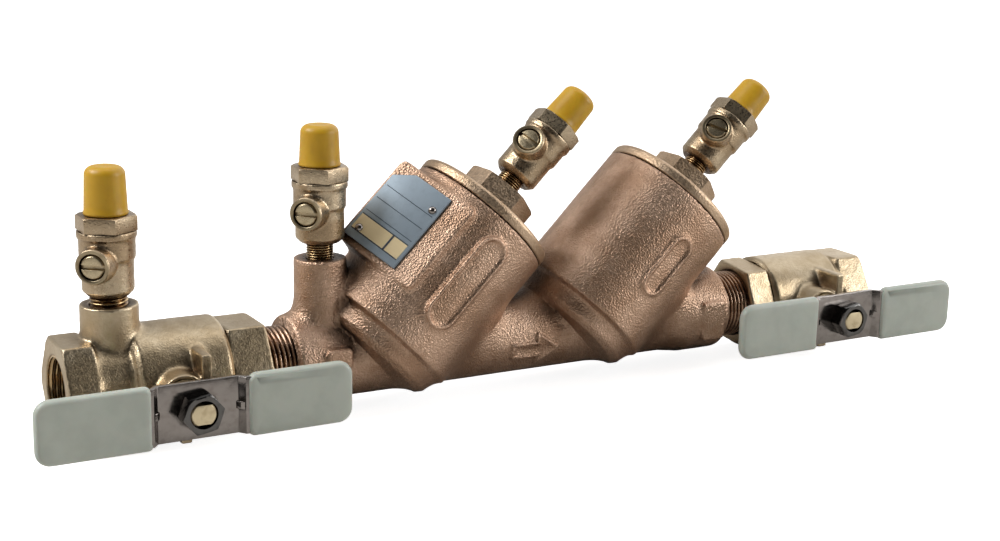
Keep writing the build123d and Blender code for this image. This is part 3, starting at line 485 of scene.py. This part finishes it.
def arc(centre_r, centre_z, radius, start, end, steps=8):
    """Points of a round corner in a (radius, height) outline, angles in degrees."""
    turns = [radians(start + (end - start) * k / steps) for k in range(steps + 1)]
    return [(centre_r + radius * cos(a), centre_z + radius * sin(a)) for a in turns]


def thread(name, matrix, crest, depth, pitch, start, end, core, segments=112, steps=10):
    """A helical thread on a tube. The core radius is the tube's other wall, inside it
    for a male thread and outside it for a female one."""
    rows = max(2, int((end - start) / pitch * steps))
    inward = 1 if core < crest else -1
    points = []
    for row in range(rows + 1):
        height = start + (end - start) * row / rows
        fade = min(1.0, (height - start) / pitch + 0.2, (end - height) / pitch + 0.2)
        for k in range(segments):
            phase = (height / pitch - k / segments) % 1.0
            ridge = min(1.0, 1.25 * (1 - abs(2 * phase - 1)))
            radius = crest - inward * depth * (1 - ridge * fade)
            angle = tau * k / segments
            points.append((radius * cos(angle), radius * sin(angle), height))
    for height in (end, start):
        for k in range(segments):
            angle = tau * k / segments
            points.append((core * cos(angle), core * sin(angle), height))
    faces = []
    for row in range(rows + 3):
        here, after = row * segments, (row + 1) % (rows + 3) * segments
        for k in range(segments):
            n = (k + 1) % segments
            quad = (here + k, here + n, after + n, after + k)
            faces.append(quad if inward > 0 else quad[::-1])
    return mesh_from(name, placed(matrix, points), faces)


def welded_copy(node):
    """A CAD node's mesh as a new bmesh, with its doubled vertices joined."""
    shape = bmesh.new()
    shape.from_mesh(nodes[node].data)
    bmesh.ops.remove_doubles(shape, verts=shape.verts, dist=0.002 * MM)
    return shape


def bevelled(node, name, width, material, angle=30.0):
    """A CAD node's shape with its sharp edges broken, as a new piece that stands for it."""
    shape = welded_copy(node)
    bmesh.ops.dissolve_limit(shape, angle_limit=radians(0.8), verts=shape.verts, edges=shape.edges)
    joined = [e for e in shape.edges if len(e.link_faces) == 2]
    sharp = [e for e in joined if e.calc_face_angle() > radians(angle)]
    bmesh.ops.bevel(
        shape,
        geom=sharp,
        offset=width * MM,
        segments=3,
        profile=0.5,
        affect="EDGES",
        clamp_overlap=True,
    )
    bmesh.ops.triangulate(shape, faces=[f for f in shape.faces if len(f.verts) > 4])
    mesh = bpy.data.meshes.new(name)
    shape.to_mesh(mesh)
    shape.free()
    piece = new_piece(name, mesh, material, nodes[node]["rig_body"], 40.0)
    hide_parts(node)
    return piece


def voxel_skin(node, voxel):
    """A CAD node's shape as an even quad mesh, the start of a cast or forged piece."""
    mesh = bpy.data.meshes.new("skin")
    shape = welded_copy(node)
    shape.to_mesh(mesh)
    shape.free()
    work = bpy.data.objects.new("skin_work", mesh)
    bpy.context.scene.collection.objects.link(work)
    remesh = work.modifiers.new("remesh", "REMESH")
    remesh.mode = "VOXEL"
    remesh.voxel_size = voxel * MM
    bpy.context.view_layer.update()
    evaluated = work.evaluated_get(bpy.context.evaluated_depsgraph_get())
    skin = bpy.data.meshes.new_from_object(evaluated)
    bpy.data.objects.remove(work)
    bpy.data.meshes.remove(mesh)
    return skin


class Skin:
    """An even mesh's points and neighbours, for shaping a casting in code."""

    def __init__(self, mesh):
        self.mesh = mesh
        count = len(mesh.vertices)
        self.points = np.empty(count * 3)
        mesh.vertices.foreach_get("co", self.points)
        self.points = self.points.reshape(-1, 3)
        pairs = np.empty(len(mesh.edges) * 2, np.int64)
        mesh.edges.foreach_get("vertices", pairs)
        self.pairs = pairs.reshape(-1, 2)
        self.degree = np.bincount(pairs, minlength=count).astype(float)[:, None]

    def mean(self, values):
        """Each point's average over its neighbours."""
        total = np.empty_like(values)
        first, second = self.pairs.T
        for column in range(values.shape[1]):
            total[:, column] = np.bincount(first, values[second, column], len(values))
            total[:, column] += np.bincount(second, values[first, column], len(values))
        return total / self.degree

    def normals(self):
        """Each point's unit normal."""
        self.write()
        out = np.empty(len(self.points) * 3)
        self.mesh.vertex_normals.foreach_get("vector", out)
        return out.reshape(-1, 3)

    def write(self):
        """Give the points back to the mesh."""
        self.mesh.vertices.foreach_set("co", self.points.ravel())
        self.mesh.update()

    def relax(self, rounds, strength=0.5):
        """Move each point part of the way to its neighbours' average."""
        for _ in range(rounds):
            self.points += strength * (self.mean(self.points) - self.points)

    def fill_hollows(self, weight, rounds):
        """Fill concave creases into fillets where weight is above 0."""
        for step in range(rounds):
            if step % 5 == 0:
                normals = self.normals()
            pull = np.einsum("ij,ij->i", self.mean(self.points) - self.points, normals)
            self.points += normals * (0.9 * weight * np.clip(pull, 0, None))[:, None]

    def roughen(self, weight, size, height, seed):
        """Push points along their normals by smooth noise. Sizes are in millimetres."""
        normals = self.normals()
        offset = Vector((seed * 17.3, seed * 5.1, seed * 9.7))
        push = np.zeros(len(self.points))
        for i in np.flatnonzero(weight > 0):
            push[i] = noise.noise(Vector(self.points[i]) / (size * MM) + offset)
        self.points += normals * (push * weight * height * MM)[:, None]

    def raise_by(self, height):
        """Push points out along their normals by a height in millimetres at each."""
        self.points += self.normals() * (height * MM)[:, None]

    def local(self, matrix):
        """The points in a local frame, in millimetres."""
        turned = (self.points - np.array(matrix.translation)) @ np.array(matrix.to_3x3())
        return turned / MM


def radius_of(local_points):
    """Each point's distance from a local frame's Z axis."""
    return np.hypot(local_points[:, 0], local_points[:, 1])


def bead(distance, width):
    """The height, 0 to 1, of a rounded bead of that width whose middle is at distance 0."""
    return np.clip(1.5 * (1 - np.abs(distance) / (width / 2)), 0, 1)


def racetrack_distance(u, v, length, width):
    """Distance from a racetrack outline about (0, 0) whose long side runs along u."""
    reach = np.maximum(np.abs(u) - (length - width) / 2, 0)
    return np.hypot(reach, v) - width / 2


def outline_distance(u, v, corners):
    """Distance from a closed outline of straight sides."""
    best = np.full(len(u), 1e9)
    for (au, av), (bu, bv) in zip(corners, corners[1:] + corners[:1]):
        du, dv = bu - au, bv - av
        share = np.clip(((u - au) * du + (v - av) * dv) / (du * du + dv * dv), 0, 1)
        best = np.minimum(best, np.hypot(u - au - share * du, v - av - share * dv))
    return best


# ---------------------------------------------------------------- check casting

# The nameplate: its turn about tower 1, its height up it, and its pad's distance from the axis.
NAMEPLATE_TURN = radians(-52)
NAMEPLATE_ALONG = 42.5
NAMEPLATE_FACE = 30.4


def name_frame():
    """The nameplate's own frame: X across it, Y up it along the tower, Z out of it."""
    tower = tower_frames[0]
    axes = tower.to_3x3()
    x_axis, y_axis, z_axis = (axes.col[i] for i in range(3))
    across = cos(NAMEPLATE_TURN) * x_axis + sin(NAMEPLATE_TURN) * y_axis
    outward = across.cross(z_axis)
    origin = tower.translation + z_axis * NAMEPLATE_ALONG * MM
    return frame_of(across, z_axis, outward, origin)


# Each lozenge: the tower's index, its height up the tower, its offset across, length, width.
LOZENGES = ((0, 39.5, -3.0, 41.0, 13.0), (1, 39.0, 0.0, 28.0, 10.0))
ARROW_X, ARROW_Z = 182.0, -3.6
ARROW = ((-10, -2.6), (1, -2.6), (1, -6), (10, 0), (1, 6), (1, 2.6), (-10, 2.6))
RELIEF = 0.40  # height of the raised rims
ARROW_LIFT = 1.5  # the arrow's rim, as a share of RELIEF
PADS = ((98.9, 7), (266.3, 8))  # place along the pipe and half length of each side pad
CASTING_START, CASTING_END = 83.8, 275.0
TOWER_TOP = 66.3
CHANNEL_R = 10.9
TOWER_BORE_R = 25.0
SEAT_HOLE_R = 14.2
THREAD_CORE_R = 12.2
PIPE_THREAD_R, PIPE_THREAD_DEPTH, PIPE_THREAD_PITCH = 13.5, 1.0, 1.81
PIPE_THREADS = (("inlet_pipe_thread", 64.0, 84.6), ("outlet_pipe_thread", 274.2, 296.0))


def lozenge_distances(skin):
    """For each lozenge, the points' distances from its outline and which points are on its side."""
    for index, height, across, length, width in LOZENGES:
        local = skin.local(tower_frames[index])
        u, v = local[:, 2] - height, local[:, 0] - across
        yield racetrack_distance(u, v, length, width), local[:, 1] < -15


def check_casting(voxel):
    """The bronze body: cast skin with filled creases, and machined bores left true."""
    skin = Skin(voxel_skin("check_body", voxel))
    skin.relax(4)
    along = skin.points[:, 0] / MM
    from_pipe = np.hypot(skin.points[:, 1], skin.points[:, 2]) / MM
    inside = from_pipe < CHANNEL_R
    machined = np.zeros(len(along), bool)
    for tower in tower_frames:
        local = skin.local(tower)
        radius, height = radius_of(local), local[:, 2]
        inside |= (radius < TOWER_BORE_R) & (height > 1.0)
        inside |= (radius < SEAT_HOLE_R) & (height > -7.0) & (height < 3.0) & (from_pipe < 15.0)
        machined |= (height > TOWER_TOP - 1.0) & (radius < 31.0)
    threads = (along < CASTING_START + 0.3) | (along > CASTING_END - 0.3)
    cast = (~inside & ~threads & ~machined).astype(float)

    # How fully each crease is filled: wholly near the pipe, and not at all where relief goes.
    fill = np.clip((27.0 - from_pipe) / 5.0, 0.12, 1.0)
    near_side = skin.points[:, 1] / MM < -9
    up = skin.points[:, 2] / MM
    flat = (np.abs(along - ARROW_X) < 13) & (np.abs(up - ARROW_Z) < 8.5)
    for place, reach in PADS:
        flat |= np.abs(along - place) < reach
    fill[flat & near_side] = 0.0
    local = skin.local(name_frame())
    fill[(local[:, 2] > 20) & (np.abs(local[:, 1]) < 23) & (local[:, 0] > -30)] = 0.08
    for distance, facing in lozenge_distances(skin):
        fill[(distance < 2.5) & facing] = 0.0
    skin.fill_hollows(cast * fill, 400)

    # Raised rims round the lozenges and the flow arrow.
    relief = np.zeros(len(along))
    for distance, facing in lozenge_distances(skin):
        rim = bead(distance + 0.75, 1.4)
        relief = np.maximum(relief, np.where(facing & (cast > 0), rim, 0))
    front = (skin.points[:, 1] < 0) & (cast > 0) & (from_pipe < 20)
    corners = [(ARROW_X + u, ARROW_Z + v) for u, v in ARROW]
    distance = outline_distance(along, skin.points[:, 2] / MM, corners)
    relief = np.maximum(relief, np.where(front, ARROW_LIFT * bead(distance, 1.2), 0))
    skin.raise_by(relief * RELIEF)
    skin.roughen(cast, 9.0, 0.06, 1)
    skin.roughen(cast, 2.4, 0.04, 2)

    # The stub ends shrink to a core inside the helical threads.
    core = THREAD_CORE_R / np.maximum(from_pipe, 1e-6)
    shrink = np.where(threads & ~inside, np.minimum(1.0, core), 1.0)
    skin.points[:, 1] *= shrink
    skin.points[:, 2] *= shrink
    skin.write()
    piece = new_piece("check_casting", skin.mesh, cast_bronze, "root", None)
    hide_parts("check_body")
    shape = (PIPE_THREAD_R, PIPE_THREAD_DEPTH, PIPE_THREAD_PITCH)
    for name, start, end in PIPE_THREADS:
        mesh = thread(name, pipe_frame, *shape, start, end, THREAD_CORE_R - 0.4)
        new_piece(name, mesh, thread_bronze, "root", 50.0)


check_casting(0.6)

# ---------------------------------------------------------------- bonnets

for number in (1, 2):
    bevelled(f"bonnet_{number}", f"bonnet_{number}_cover", 0.35, bonnet_bronze)

# ---------------------------------------------------------------- ball valves

PORT_THREAD_R, PORT_THREAD_DEPTH, PORT_THREAD_LENGTH, PORT_TUBE_R = 12.7, 1.0, 15.0, 13.2
VALVE_BORE_R = 14.9
STEM_HOLE_R = 7.6
COCK_HOLE_R = 7.4


def valve_shell(side, seed):
    """A forged valve body and its screwed end, with filled creases and a sanded skin."""
    cock_x = cock_frames[0].translation.x
    voxel = 0.5
    for node, rounds in ((f"{side}_valve_body", 40), (f"{side}_valve_end", 6)):
        skin = Skin(voxel_skin(node, voxel))
        skin.relax(3)
        radius = np.hypot(skin.points[:, 1], skin.points[:, 2]) / MM
        from_stem = np.hypot(skin.points[:, 0] / MM - stem_x[side] / MM, skin.points[:, 2] / MM)
        from_cock = np.hypot(skin.points[:, 0] - cock_x, skin.points[:, 1]) / MM
        inside = (radius < VALVE_BORE_R) | ((from_stem < STEM_HOLE_R) & (skin.points[:, 1] < 0))
        inside |= (from_cock < COCK_HOLE_R) & (skin.points[:, 2] > 0) & (side == "inlet")
        outer = (~inside).astype(float)
        skin.fill_hollows(outer * 0.7, rounds)
        skin.roughen(outer, 7.0, 0.06, seed)
        skin.roughen(outer, 2.0, 0.05, seed + 5)
        skin.write()
        piece = new_piece(f"{node}_forging", skin.mesh, valve_brass, "root", None)
        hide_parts(node)
    low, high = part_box(f"{side}_valve_body")
    if side == "inlet":
        start, end = low.x / MM + 0.5, low.x / MM + PORT_THREAD_LENGTH
    else:
        start, end = high.x / MM - PORT_THREAD_LENGTH, high.x / MM - 0.5
    shape = (PORT_THREAD_R, -PORT_THREAD_DEPTH, PIPE_THREAD_PITCH)
    mesh = thread(f"{side}_port_thread", pipe_frame, *shape, start, end, PORT_TUBE_R)
    new_piece(f"{side}_port_thread", mesh, thread_brass, "root", 50.0)


valve_shell("inlet", 21)
valve_shell("outlet", 22)

# ---------------------------------------------------------------- levers


GRIP_START = 16.2  # from the stem's axis to the grip's inner end
GRIP_EDGE = 1.7
GRIP_OUTER_R, GRIP_INNER_R = 5.2, 2.2


def rounded_outline(width, height, outer_r, inner_r, steps=8):
    """Points round a rounded rectangle about (0, 0), its inner end towards -x."""
    outline = []
    for corner, (sx, sy) in enumerate(((1, 1), (-1, 1), (-1, -1), (1, -1))):
        radius = outer_r if sx > 0 else inner_r
        cx, cy = sx * (width / 2 - radius), sy * (height / 2 - radius)
        for k in range(steps + 1):
            a = (corner + k / steps) * pi / 2
            outline.append((cx + radius * cos(a), cy + radius * sin(a)))
    return np.array(outline)


def grip(side, hand):
    """One dipped vinyl grip: soft edges, a slight swell and an uneven dip line."""
    low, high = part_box(f"{side}_lever_grips")
    centre_x = stem_x[side] / MM
    width, height = (high.x - low.x) / MM / 2 - GRIP_START, (high.z - low.z) / MM
    front, back = low.y / MM, high.y / MM
    thickness = back - front
    outline = rounded_outline(width, height, GRIP_OUTER_R, GRIP_INNER_R)
    along = np.clip(outline[:, 0], -width / 2 + 9, width / 2 - 9)
    spine = np.column_stack((along, np.zeros(len(outline))))

    def shrunk(ring, share):
        made = ring.copy()
        made[:, :2] = spine + (ring[:, :2] - spine) * share
        return made

    rings = []
    for k in range(9):
        a = pi * k / 8
        inset = GRIP_EDGE * (1 - sin(a))
        depth = thickness / 2 - (thickness / 2) * cos(a)
        reach = outline - spine
        length = np.linalg.norm(reach, axis=1, keepdims=True)
        ring = spine + reach * (1 - inset / length)
        rings.append(np.column_stack((ring, np.full(len(ring), depth))))
    shares = (0.02, 0.35, 0.7)
    points = [shrunk(rings[0], share) for share in shares]
    points += rings
    points += [shrunk(rings[-1], share) for share in shares[::-1]]
    count = len(outline)
    cloud = np.vstack(points)
    swell = 0.10 * np.cos(cloud[:, 0] * 0.11) + 0.08 * np.sin(cloud[:, 1] * 0.2 + 1)
    cloud[:, 2] += swell * np.where(cloud[:, 2] < thickness / 2, -0.4, 0.4)
    inner_end = cloud[:, 0] < -width / 2 + 3.0
    wave = 0.8 * np.sin(cloud[:, 1] * 0.55 + 2.0 * hand) + 0.4 * np.sin(cloud[:, 1] * 1.3)
    cloud[inner_end, 0] += (wave * 0.7)[inner_end] + 0.6
    x = centre_x + hand * (GRIP_START + width / 2 + cloud[:, 0])
    places = np.column_stack((x, front + cloud[:, 2], cloud[:, 1])) * MM
    faces = []
    last = (len(points) - 1) * count
    for here in range(0, last, count):
        after = here + count
        for k in range(count):
            n = (k + 1) % count
            faces.append((here + k, here + n, after + n, after + k))
    faces.append(tuple(range(count))[::-1])
    faces.append(tuple(range(last, last + count)))
    name = f"{side}_grip_{'right' if hand > 0 else 'left'}"
    mesh = mesh_from(name, places, faces)
    shape = bmesh.new()
    shape.from_mesh(mesh)
    bmesh.ops.recalc_face_normals(shape, faces=shape.faces)
    shape.to_mesh(mesh)
    shape.free()
    piece = new_piece(name, mesh, grip_vinyl, f"{side}_lever_set", None)
    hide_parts(f"{side}_lever_grips")


for side in ("inlet", "outlet"):
    bevelled(f"{side}_lever", f"{side}_lever_plate", 0.28, stainless)
    bevelled(f"{side}_lever_nut", f"{side}_nut", 0.25, plated_nut)
    bevelled(f"{side}_stem", f"{side}_stem_bar", 0.2, turned_brass)
    bevelled(f"{side}_gland_nut", f"{side}_gland", 0.2, turned_brass)
    for hand in (-1, 1):
        grip(side, hand)

# ---------------------------------------------------------------- nameplate

SHEET_THICKNESS = 1.0
SHEET = ((-24.7, -16.5), (0.1, -16.5), (0.1, 16.5), (-17.0, 16.5), (-24.7, 11.5))
BOXES = ((-23.6, -8.4), (-7.6, -1.2))  # left and right of each gold box
BOX_LOW, BOX_HIGH = -13.4, -6.6
RULES = (-4.6, 1.4, 7.2)
RULE_WIDTH = 0.22
SUNK = 0.1  # how far the boxes and rules start inside the sheet


def slab(shape, outline, low, high, edge):
    """Add a flat plate with softened front edges to a bmesh, in plain millimetres."""
    bottom = [shape.verts.new((u, v, low)) for u, v in outline]
    top = [shape.verts.new((u, v, high)) for u, v in outline]
    shape.faces.new(bottom[::-1])
    shape.faces.new(top)
    rim = []
    for i in range(len(outline)):
        j = (i + 1) % len(outline)
        shape.faces.new((bottom[i], bottom[j], top[j], top[i]))
        rim += [e for e in top[i].link_edges if e.other_vert(top[i]) is top[j]]
        rim += [e for e in top[i].link_edges if e.other_vert(top[i]) is bottom[i]]
    geom = list(set(rim))
    bmesh.ops.bevel(shape, geom=geom, offset=edge, segments=3, profile=0.5, affect="EDGES")


def plate_piece(name, outlines, low, high, edge, material):
    """A piece of flat plates in the nameplate's frame."""
    shape = bmesh.new()
    for outline in outlines:
        slab(shape, outline, low, high, edge)
    mesh = bpy.data.meshes.new(name)
    shape.to_mesh(mesh)
    shape.free()
    places = placed(name_frame(), [v.co for v in mesh.vertices])
    mesh.vertices.foreach_set("co", places.ravel())
    mesh.update()
    return new_piece(name, mesh, material, "root", 40.0)


def rectangle(left, right, low, high):
    """The corners of a rectangle, as an outline."""
    return [(left, low), (right, low), (right, high), (left, high)]


def nameplate():
    """A blank printed sheet: two gold boxes and dark rules, with no lettering."""
    face = NAMEPLATE_FACE + SHEET_THICKNESS
    sheet = plate_piece("nameplate_sheet", [SHEET], NAMEPLATE_FACE, face, 0.25, plate_blue)
    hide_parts("nameplate")
    boxes = [rectangle(left, right, BOX_LOW, BOX_HIGH) for left, right in BOXES]
    plate_piece("nameplate_boxes", boxes, face - SUNK, face + 0.10, 0.05, plate_gold)
    left, right = BOXES[0][0], BOXES[1][1]
    lines = [rectangle(left, right, height - RULE_WIDTH, height) for height in RULES]
    for edge in (BOX_LOW, BOX_HIGH):
        lines.append(rectangle(left, right, edge - RULE_WIDTH, edge + RULE_WIDTH))
    lines.append(rectangle(BOXES[0][1], BOXES[1][0], BOX_LOW, BOX_HIGH))
    plate_piece("nameplate_lines", lines, face - SUNK, face + 0.14, 0.04, plate_ink)


nameplate()

# ---------------------------------------------------------------- test cocks

# Each cock's mounting thread: crest radius, depth, pitch, length.
COCK_THREADS = (
    (6.6, 0.75, 1.41, 10.0),
    (4.97, 0.55, 0.94, 11.5),
    (4.97, 0.55, 0.94, 11.0),
    (4.97, 0.55, 0.94, 11.0),
)
COCK_THREAD_TOP = -12.4
SCREW_HEAD_R, CAD_SCREW_HEAD_R = 4.35, 3.8
BOSS_FACE = ((4.62, 13.6), (5.5, 13.6), (5.9, 13.78), (5.75, 14.05), (4.85, 14.08), (4.62, 13.9))
CAP_LENGTHS = (16.7, 15.0, 15.4, 14.3)
CAP_BASE = 15.75


def cock(number):
    """A cock's forged body, its hexagon and its slotted screw."""
    cock_frame = cock_frames[number - 1]
    skin = Skin(voxel_skin(f"test_cock_{number}_body", 0.33))
    skin.relax(2)
    local = skin.local(cock_frame)
    radius = radius_of(local)
    side_radius = np.hypot(local[:, 1], local[:, 2])
    thread_zone = local[:, 2] < COCK_THREAD_TOP - 0.2
    core = COCK_THREADS[number - 1][0] - 0.75
    bored = ((radius < 6.6) & (local[:, 2] > -12.0) & (local[:, 0] < 5)) | (side_radius < 4.9)
    outer = (~bored & ~thread_zone).astype(float)
    skin.fill_hollows(outer * 0.6, 16)
    turned_boss = (side_radius < 6.6) & (local[:, 0] > 9.5)
    far_side = np.clip((6.0 - local[:, 0]) / 8.0, 0.25, 1.0)
    skin.roughen(outer * ~turned_boss * far_side, 1.5, 0.11, 30 + number)
    shrink = np.minimum(1.0, core / np.maximum(radius, 1e-6))
    inward = np.where(thread_zone & (radius > 3.4), shrink, 1.0)
    axis_point = np.array(cock_frame.translation)
    up = np.array(cock_frame.to_3x3().col[2])
    spine = axis_point + np.outer(local[:, 2] * MM, up)
    skin.points = spine + (skin.points - spine) * inward[:, None]
    skin.write()
    name = f"test_cock_{number}_casting"
    piece = new_piece(name, skin.mesh, cock_brass, "root", None)
    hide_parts(f"test_cock_{number}_body")
    bevelled(f"test_cock_{number}_end", f"test_cock_{number}_hexagon", 0.2, cock_brass)
    screw = bevelled(f"test_cock_{number}_stem", f"test_cock_{number}_screw", 0.15, screw_brass)
    shape = Skin(screw.data)
    local = shape.local(cock_frame)
    head = local[:, 0] > 10.0
    local[head, 1:] *= SCREW_HEAD_R / CAD_SCREW_HEAD_R
    shape.points = placed(cock_frame, local)
    shape.write()


def boss_face(number):
    """The turned face of the boss, a thin washer of darker metal round the screw."""
    name = f"test_cock_{number}_boss_face"
    cock_frame = cock_frames[number - 1]
    axes = cock_frame.to_3x3()
    along_stem = axis_frame(cock_frame.translation, axes.col[0], axes.col[2])
    mesh = lathe(name, along_stem, BOSS_FACE)
    new_piece(name, mesh, boss_brass, "root", 50.0)


def cock_thread(number):
    """The helical thread that shows under a cock's body."""
    *shape, length = COCK_THREADS[number - 1]
    start, end = COCK_THREAD_TOP - length, COCK_THREAD_TOP
    name = f"test_cock_{number}_thread"
    mesh = thread(name, cock_frames[number - 1], *shape, start, end, shape[0] - 1.0, 64, 8)
    new_piece(name, mesh, thread_brass, "root", 50.0)


def dust_cap(number):
    """A moulded cap: slight taper, a soft shoulder, a shallow dished top and a rolled foot."""
    base, top = CAP_BASE, 15.6 + CAP_LENGTHS[number - 1]
    shoulder = 3.0
    outline = [(0, 27.4), (4.6, 27.4), (5.85, 24.7), (5.85, base), (7.35, base)]
    outline += [(7.62, base + 0.25), (7.62, base + 0.9), (7.42, base + 1.3)]
    for k in range(1, 6):
        rise = (top - shoulder - base - 1.3) * k / 6
        outline.append((7.42 - 0.5 * k / 6, base + 1.3 + rise))
    outline += arc(6.92 - shoulder, top - shoulder, shoulder, 0, 84, 10)
    outline += [(3.0, top - 0.05), (1.5, top - 0.12), (0, top - 0.15)]
    name = f"dust_cap_{number}"
    mesh = lathe(name, cock_frames[number - 1], outline)
    piece = new_piece(name, mesh, cap_plastic, f"cap_{number}", 50.0)
    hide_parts(f"test_cock_{number}_cap")


for number in range(1, 5):
    cock(number)
    boss_face(number)
    cock_thread(number)
    dust_cap(number)

# ---------------------------------------------------------------- stage


FLOOR_GAP = 0.0002
FLOOR_SEEN_BY_METAL = (0.60, 0.58, 0.55, 1)
FLOOR_SEEN_BY_CAMERA = (0.90, 0.90, 0.90, 1)
FLOOR_GLOW = 0.85


def stage():
    """A plain pale floor, which metal sees darker than the camera does."""
    floor_z = cad_box[0][2] - FLOOR_GAP
    bpy.ops.mesh.primitive_plane_add(size=12, location=(0.3, 2.0, floor_z))
    floor = bpy.context.object
    floor.name = "floor"
    material = bpy.data.materials.new("floor")
    material.use_nodes = True
    tree = material.node_tree
    surface = tree.nodes["Principled BSDF"]
    surface.inputs["Roughness"].default_value = 0.9
    path = tree.nodes.new("ShaderNodeLightPath")
    tone = tree.nodes.new("ShaderNodeMix")
    tone.data_type = "RGBA"
    tone.inputs["A"].default_value = FLOOR_SEEN_BY_METAL
    tone.inputs["B"].default_value = FLOOR_SEEN_BY_CAMERA
    tree.links.new(path.outputs["Is Camera Ray"], tone.inputs["Factor"])
    tree.links.new(tone.outputs["Result"], surface.inputs["Base Color"])
    surface.inputs["Emission Color"].default_value = (1, 1, 1, 1)
    glow = tree.nodes.new("ShaderNodeMath")
    glow.operation = "MULTIPLY"
    glow.inputs[1].default_value = FLOOR_GLOW
    tree.links.new(path.outputs["Is Camera Ray"], glow.inputs[0])
    tree.links.new(glow.outputs[0], surface.inputs["Emission Strength"])
    floor.data.materials.append(material)


def softbox(name, place, target, size, watts):
    """An area light aimed at a point."""
    data = bpy.data.lights.new(name, "AREA")
    data.shape = "RECTANGLE"
    data.size, data.size_y = size
    data.energy = watts
    lamp = bpy.data.objects.new(name, data)
    bpy.context.scene.collection.objects.link(lamp)
    lamp.location = place
    aim = (Vector(target) - Vector(place)).normalized()
    lamp.rotation_euler = aim.to_track_quat("-Z", "Y").to_euler()


# Each part of the room: a direction, the light's strength away from it and towards it, and
# the cosines between which the one becomes the other.
ROOM = (
    (Vector((-0.20, -0.85, 0.48)).normalized(), 0.62, 0.04, 0.22, 0.80),
    (Vector((1, 0, 0)), 0.60, 1.90, 0.1, 0.75),
)


def world():
    """A bright room behind and to the right, and a dark one over the camera's head."""
    made = bpy.data.worlds.new("studio")
    bpy.context.scene.world = made
    made.use_nodes = True
    tree = made.node_tree
    background = tree.nodes["Background"]
    place = tree.nodes.new("ShaderNodeTexCoord").outputs["Generated"]
    strengths = []
    for direction, low, high, from_low, from_high in ROOM:
        facing = tree.nodes.new("ShaderNodeVectorMath")
        facing.operation = "DOT_PRODUCT"
        facing.inputs[1].default_value = direction
        tree.links.new(place, facing.inputs[0])
        ramp = tree.nodes.new("ShaderNodeMapRange")
        ramp.interpolation_type = "SMOOTHSTEP"
        ramp.inputs["From Min"].default_value = from_low
        ramp.inputs["From Max"].default_value = from_high
        ramp.inputs["To Min"].default_value = low
        ramp.inputs["To Max"].default_value = high
        tree.links.new(facing.outputs["Value"], ramp.inputs["Value"])
        strengths.append(ramp.outputs["Result"])
    product = tree.nodes.new("ShaderNodeMath")
    product.operation = "MULTIPLY"
    tree.links.new(strengths[0], product.inputs[0])
    tree.links.new(strengths[1], product.inputs[1])
    tree.links.new(product.outputs[0], background.inputs["Strength"])
    background.inputs["Color"].default_value = (1.0, 0.99, 0.98, 1)


CAMERA_PLACE = (-0.1406, -0.5507, 0.1788)
CAMERA_TURN = (29.77, -13.62, 1.28)  # yaw from +Y towards +X, pitch and roll, in degrees
SENSOR_WIDTH, LENS = 36, 60.34


def camera():
    """The camera, from its place and turn."""
    yaw, pitch, roll = (radians(angle) for angle in CAMERA_TURN)
    ahead = Vector((sin(yaw) * cos(pitch), cos(yaw) * cos(pitch), sin(pitch)))
    level = ahead.cross(Vector((0, 0, 1))).normalized()
    over = level.cross(ahead)
    right = cos(roll) * level + sin(roll) * over
    up = -sin(roll) * level + cos(roll) * over
    data = bpy.data.cameras.new("camera")
    data.sensor_width = SENSOR_WIDTH
    data.lens = LENS
    made = bpy.data.objects.new("camera", data)
    bpy.context.scene.collection.objects.link(made)
    made.matrix_world = frame_of(right, up, -ahead, CAMERA_PLACE)
    bpy.context.scene.camera = made


stage()
world()
camera()
centre = (0.17, 0, 0.03)
softbox("key", (-0.8, 0.30, 1.0), centre, (0.8, 0.6), 14)
softbox("top", (0.2, 0.1, 1.1), centre, (1.2, 0.4), 2)
softbox("side", (1.1, -0.7, 0.35), centre, (0.5, 0.5), 4)
bpy.context.scene.view_settings.view_transform = "Standard"
